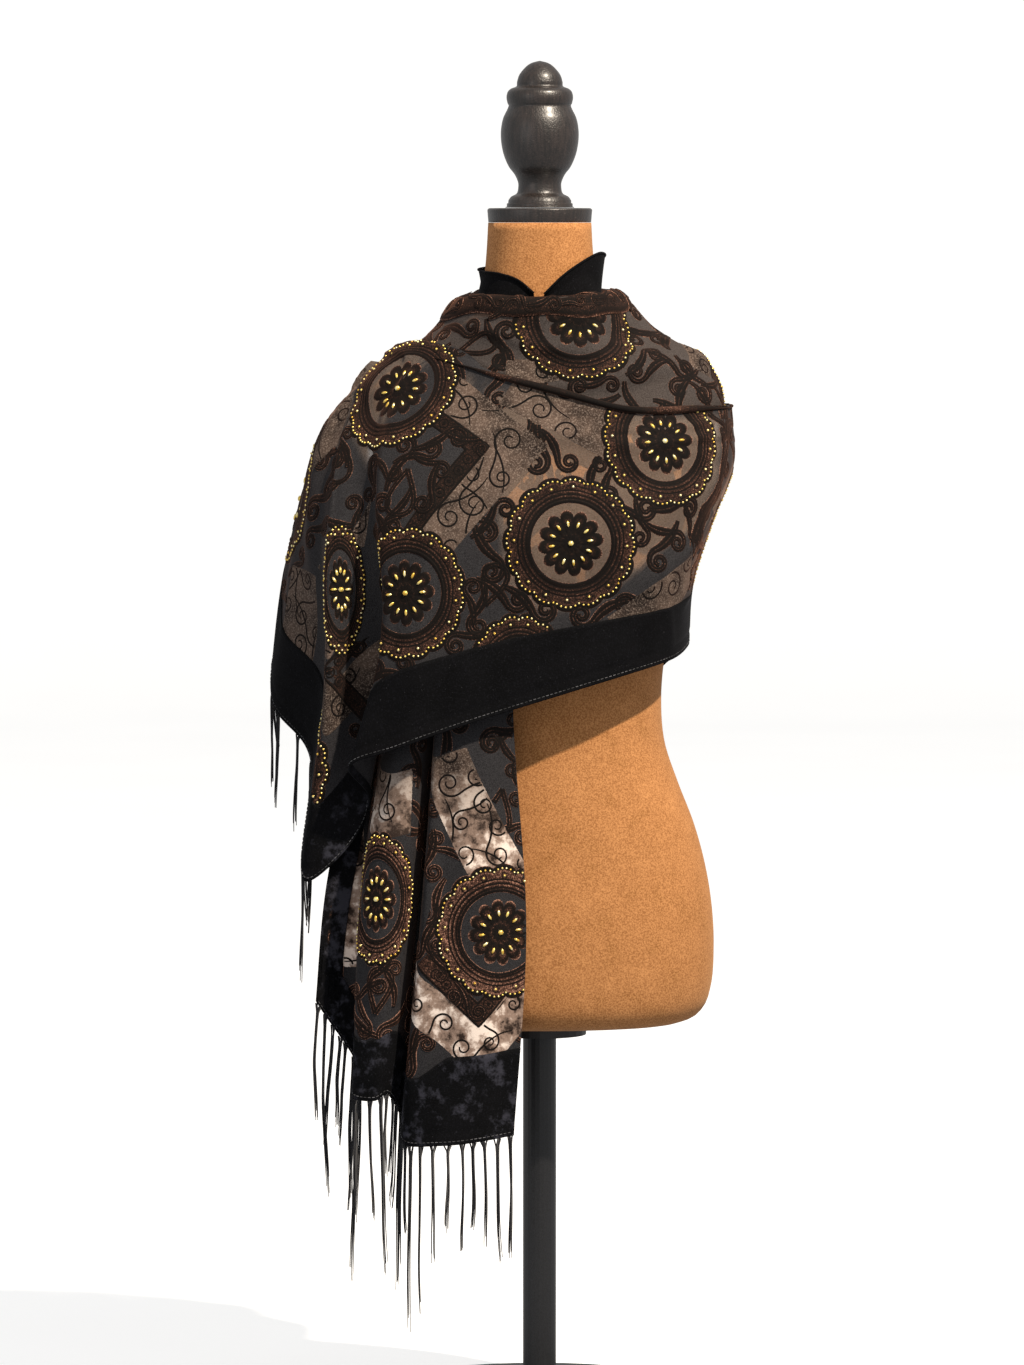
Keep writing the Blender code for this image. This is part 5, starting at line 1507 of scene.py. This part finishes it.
# %% Tubes for hems and hairs
def tube(points, radii, sides):
    """The corner points and faces of a thin tube along a line."""
    way = unit(np.gradient(points, axis=0))
    first = unit(np.cross(way, np.where(np.abs(way[:, 2:]) > 0.8, [[0, 1.0, 0]], [[0, 0, 1.0]])))
    second = np.cross(way, first)
    turn = 2 * np.pi * np.arange(sides) / sides
    rings = points[:, None] + np.broadcast_to(radii, len(points))[:, None, None] * (
        first[:, None] * np.cos(turn)[:, None] + second[:, None] * np.sin(turn)[:, None])
    faces = [(i * sides + j, i * sides + (j + 1) % sides, (i + 1) * sides + (j + 1) % sides, (i + 1) * sides + j)
             for i in range(len(points) - 1) for j in range(sides)]
    return rings.reshape(-1, 3), faces


def add_tubes(name, tubes, finish):
    """Several tubes as one object."""
    points, faces, count = [], [], 0
    for corner_points, corner_faces in tubes:
        points.append(corner_points)
        faces += [tuple(corner + count for corner in face) for face in corner_faces]
        count += len(corner_points)
    mesh = bpy.data.meshes.new(name)
    mesh.from_pydata(np.concatenate(points).tolist(), [], faces)
    print(name, len(faces), "faces")
    return add_object(name, mesh, finish)


STITCH_LENGTH, THREAD_RADIUS, EDGE_STITCH, STITCH_ENDS = 0.0026, 0.00038, 0.0036, 0.004
stitch_thread, tree, shader = new_material("grey_sewing_thread", Roughness=0.7)
worn = add(tree, "TexNoise", Vector=add(tree, "TexCoord", out="Object"), Scale=1 / (9 * MM))
fill(tree, shader, Base_Color=add(tree, "ValToRGB", stops=((0.35, "#1A1A1C"), (0.7, "#66666A")), Fac=worn))


def stitches(name, cloth):
    """A row of stitches along the hem, sunk a little into the border."""
    spots = up_from_hem(cloth)(np.full((cloth.columns, 1), EDGE_STITCH))[:, 0]
    place, normal, _, _ = cloth.steps(spots)
    line = place + normal * (BORDER_TOP + 0.1) * MM
    reach = along(line)
    tubes = []
    for start in np.arange(STITCH_ENDS, reach[-1] - STITCH_ENDS, STITCH_PITCH):
        at = np.linspace(start, start + STITCH_LENGTH, 3)
        tubes.append(tube(np.stack([np.interp(at, reach, line[:, k]) for k in range(3)], axis=1), THREAD_RADIUS, 4))
    return add_tubes(name, tubes, stitch_thread)


wrap_stitches, tail_stitches = stitches("wrap_hem_stitches", wrap), stitches("hanging_end_stitches", tail)

# %% [markdown]
# ## Rolled folds
#
# Where the cloth is turned over, at the chest and round the neck, the pile stands open on the bend and
# the edge looks like a soft roll. At the chest it is a tube along the turned edge that swells and thins
# as loose cloth does, and its dark pile is painted shade for the shadowed valley under the fold. Round
# the neck it is a low relief with curls on it, like those of the field.

# %% Rolled folds
FOLD_RADIUS, FOLD_WAVES, FOLD_LIFT, FOLD_SIDES = 0.0034, 0.40, 0.0012, 12
FOLD_FROM, FOLD_TO, FOLD_SHOWS = -0.105, -0.06, 0.02      # x where the fold begins, and the part that shows
FOLD_THIN, FOLD_TAPER, FOLD_LEAST = 0.19, 0.04, 0.3       # towards this x it thins, over this length
FOLD_COLUMNS = 130                                        # how many columns before the right side it reaches
# From the neck wrap's upper edge in: distance, height and tone
COLLAR_FOLD = ((0.006, -0.1, 0.1), (0.010, 0.5, 0.15), (0.014, 1.1, 0.45), (0.020, 1.5, 0.2), (0.026, 1.8, 0.5),
               (0.031, 1.8, 0.25), (0.0345, 1.2, 0.75), (0.0353, -0.2, 0.0))
FOLD_CURLS, CURL_ROW, COLLAR_ROLL, COLLAR_SIDES = 26, 0.022, 0.0011, 8

top_line = wrap.grid[:, ROLL_STEPS - 1] + wrap.normals[:, ROLL_STEPS - 1] * FOLD_LIFT
here = np.flatnonzero(ramp(wrap.grid[:, ROLL_STEPS - 1, 0], FOLD_FROM, FOLD_TO) > FOLD_SHOWS)
here = here[here >= side - FOLD_COLUMNS]
top_line = top_line[here[0]:here[-1] + 1]
part = np.linspace(0, 1, len(top_line))
swell = 1 + FOLD_WAVES * np.sin(9 * part) * np.sin(23 * part + 1)
fold_radii = FOLD_RADIUS * swell * np.minimum(1, 4 * np.minimum(part, 1 - part) + 0.1)
fold_radii *= np.clip((FOLD_THIN - top_line[:, 0]) / FOLD_TAPER, FOLD_LEAST, 1)
chest_fold = add_tubes("chest_fold_roll", [tube(top_line, fold_radii, FOLD_SIDES)], motif_pile)
# Painted shade: the roll's dark pile tones stand for the shadowed valley under the fold.
fold_shade_tones = 0.30 + 0.16 * np.sin(31 * part) + 0.14 * np.sin(57 * part + 1)
store(chest_fold.data, "tone", np.repeat(fold_shade_tones, FOLD_SIDES))

inward, heights, tones = (np.array(values) for values in zip(*COLLAR_FOLD))
around = 2 * np.pi * np.arange(yoke.columns)[:, None] / yoke.columns
depth = inward * (1 + 0.10 * np.sin(3 * around + 1) + 0.06 * np.sin(7 * around))
neck_fold = Relief(yoke)
neck_fold.add(up_from_hem(yoke)(depth), heights * (1 + 0.25 * np.sin(5 * around + 2)),
              np.broadcast_to(tones, depth.shape), ringed=True)
curl_row = up_from_hem(yoke)(np.full((yoke.columns, 1), CURL_ROW))[:, 0, 1]
for i in range(FOLD_CURLS):
    column = (i + 0.3 * math.sin(5 * i)) * yoke.columns / FOLD_CURLS
    start = np.array([column, curl_row[int(column) % yoke.columns]])
    size = 0.72 + 0.12 * math.sin(3 * i)
    add_ribbon(neck_fold, start, curl_line(size, 1 - 2 * (i % 2)), curl_width(size), 0.1,
               turn=170 + 40 * math.sin(4 * i), lift=1.5)
neck_fold = neck_fold.piece("neck_wrap_fold", motif_pile, "velvet")

collar_roll = add_tubes("neck_edge_roll", [tube(collar.grid[:, 0], COLLAR_ROLL, COLLAR_SIDES)], black_velvet)

# %% [markdown]
# ## Fringes
#
# A shawl's fringe is made by twisting its warp threads, or added ones, and knotting them in bunches
# below the hem. So each tassel is a few twisted hairs that leave the edge apart, meet in a knot and fan
# out a little at the tip. Their places, lengths and sway are drawn at random from a fixed seed, so that
# every run gives the same fringe.

# %% Fringes
# Columns: tassels, shortest, longest in millimetres
TAIL_FRINGE, END_FRINGE = (29, 72, 186), (17, 80, 138)
HAIRS, HAIR_RADIUS, HAIR_POINTS, HAIR_SIDES = 6, 0.0010, 18, 3
KNOT_AT, SPREAD_AT_END, THROW, CORD = 0.08, 0.0016, 0.005, 0.0026
SWAY, SWING, ROOT_SPREAD, SHORTEST_HAIR, WAVER, TIP_THINNER = 0.07, 6, 0.006, 0.86, 0.0015, 0.55
CORNER_BARE = 4      # columns next to the thrown end's corner without tassels

thread_finish, tree, shader = new_material("twisted_rayon_thread", Roughness=0.6, Sheen_Weight=0.2,
                                           Specular_IOR_Level=0.3)
twist = add(tree, "TexNoise", Vector=add(tree, "TexCoord", out="Object"), Scale=1 / (2.0 * MM), Detail=2)
fill(tree, shader, Base_Color=add(tree, "ValToRGB", stops=((0.3, "#0B0B0D"), (0.7, "#24242A")), Fac=twist))


def add_fringe(name, edge, run, spread, seed):
    """Tassels along an edge: their hairs leave it apart, meet in a knot and fan out a little at the tip."""
    tassels, shortest, longest = spread
    random = np.random.default_rng(seed)
    reach = along(edge)
    pitch = reach[-1] / tassels
    part = np.linspace(0, 1, HAIR_POINTS)[:, None]
    hairs = []
    for i in range(tassels):
        middle = pitch * (i + 0.5 + 0.5 * (random.random() - 0.5))
        length = MM * (shortest + (longest - shortest) * random.random() ** 1.3)
        sway = SWAY * (random.random(2) - 0.5)
        swing = SWING * random.random(2)
        for _ in range(HAIRS):
            at = np.clip(middle + ROOT_SPREAD * (random.random() - 0.5), 0, reach[-1])
            root = np.array([np.interp(at, reach, edge[:, k]) for k in range(3)])
            centre = np.array([np.interp(middle, reach, edge[:, k]) for k in range(3)])
            down = np.array([np.interp(at, reach, run[:, k]) for k in range(3)])
            own = length * (SHORTEST_HAIR + (1 - SHORTEST_HAIR) * random.random())
            fan = SPREAD_AT_END * (random.random(2) - 0.5)
            gather = ramp(part, 0, KNOT_AT)
            line = root * (1 - gather) + centre * gather + down * THROW * np.minimum(1, 2 * part)
            line = line + part * np.array([0, 0, -own])
            line[:, :2] += CORD * (random.random(2) - 0.5) * (1 - 0.6 * part)
            line[:, :2] += sway * part ** 2 * length + fan * ramp(part, KNOT_AT, 1) * 2
            line[:, :2] += WAVER * np.sin(np.array([4, 5]) * part + swing) * part
            hairs.append(tube(line, HAIR_RADIUS * (1 - TIP_THINNER * part[:, 0] ** 2), HAIR_SIDES))
    return add_tubes(name, hairs, thread_finish)


def lower_edge(cloth, first=0):
    """The lower edge from a column on, and the way the cloth runs there."""
    edge, above = cloth.grid[first:, -1], cloth.grid[first:, -3]
    tangent = unit(np.gradient(edge, axis=0))
    run = edge - above
    return edge, unit(run - tangent * dot(run, tangent)[:, None])


corner = int(np.argmin(wrap.grid[:, -1, 2])) + CORNER_BARE
tail_fringe = add_fringe("hanging_end_fringe", *lower_edge(tail), TAIL_FRINGE, 11)
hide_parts("fringe_hanging_end")
end_fringe = add_fringe("thrown_end_fringe", *lower_edge(wrap, corner), END_FRINGE, 5)
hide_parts("fringe_thrown_end")

# %% [markdown]
# ## The size of each stretch
#
# Each stretch's size, to which it was cut, is measured along its own grid and printed.

# %% Sheets
def cut_of(cloth):
    """The width and length of a stretch, and its area, laid flat."""
    wide = np.linalg.norm(np.diff(cloth.grid, axis=0), axis=2).sum(axis=0)
    high = np.linalg.norm(np.diff(cloth.grid, axis=1), axis=2).sum(axis=1)
    return float(high.max()), float(wide.max()), float(high.mean() * wide.mean())


for cloth, sheet_piece, held, rests_on, with_pieces in (
    (yoke, yoke_sheet, "draped", [suede_form], [yoke.pile, yoke.scrolls, yoke.gold, neck_fold]),
    (collar, collar_sheet, "folded", [suede_form], [collar_roll]),
    (tail, tail_sheet, "draped", [suede_form, yoke_sheet],
     [tail.pile, tail.scrolls, tail.gold, tail_border, side_border, tail_stitches, tail_fringe]),
    (wrap, wrap_sheet, "draped", [suede_form, yoke_sheet],
     [wrap.pile, wrap.scrolls, wrap.gold, wrap_border, wrap_stitches, chest_fold, end_fringe]),
):
    width, length, area = cut_of(cloth)
    print(sheet_piece.name, "cut", round(width, 3), "by", round(length, 3), "m, area", round(area, 3))
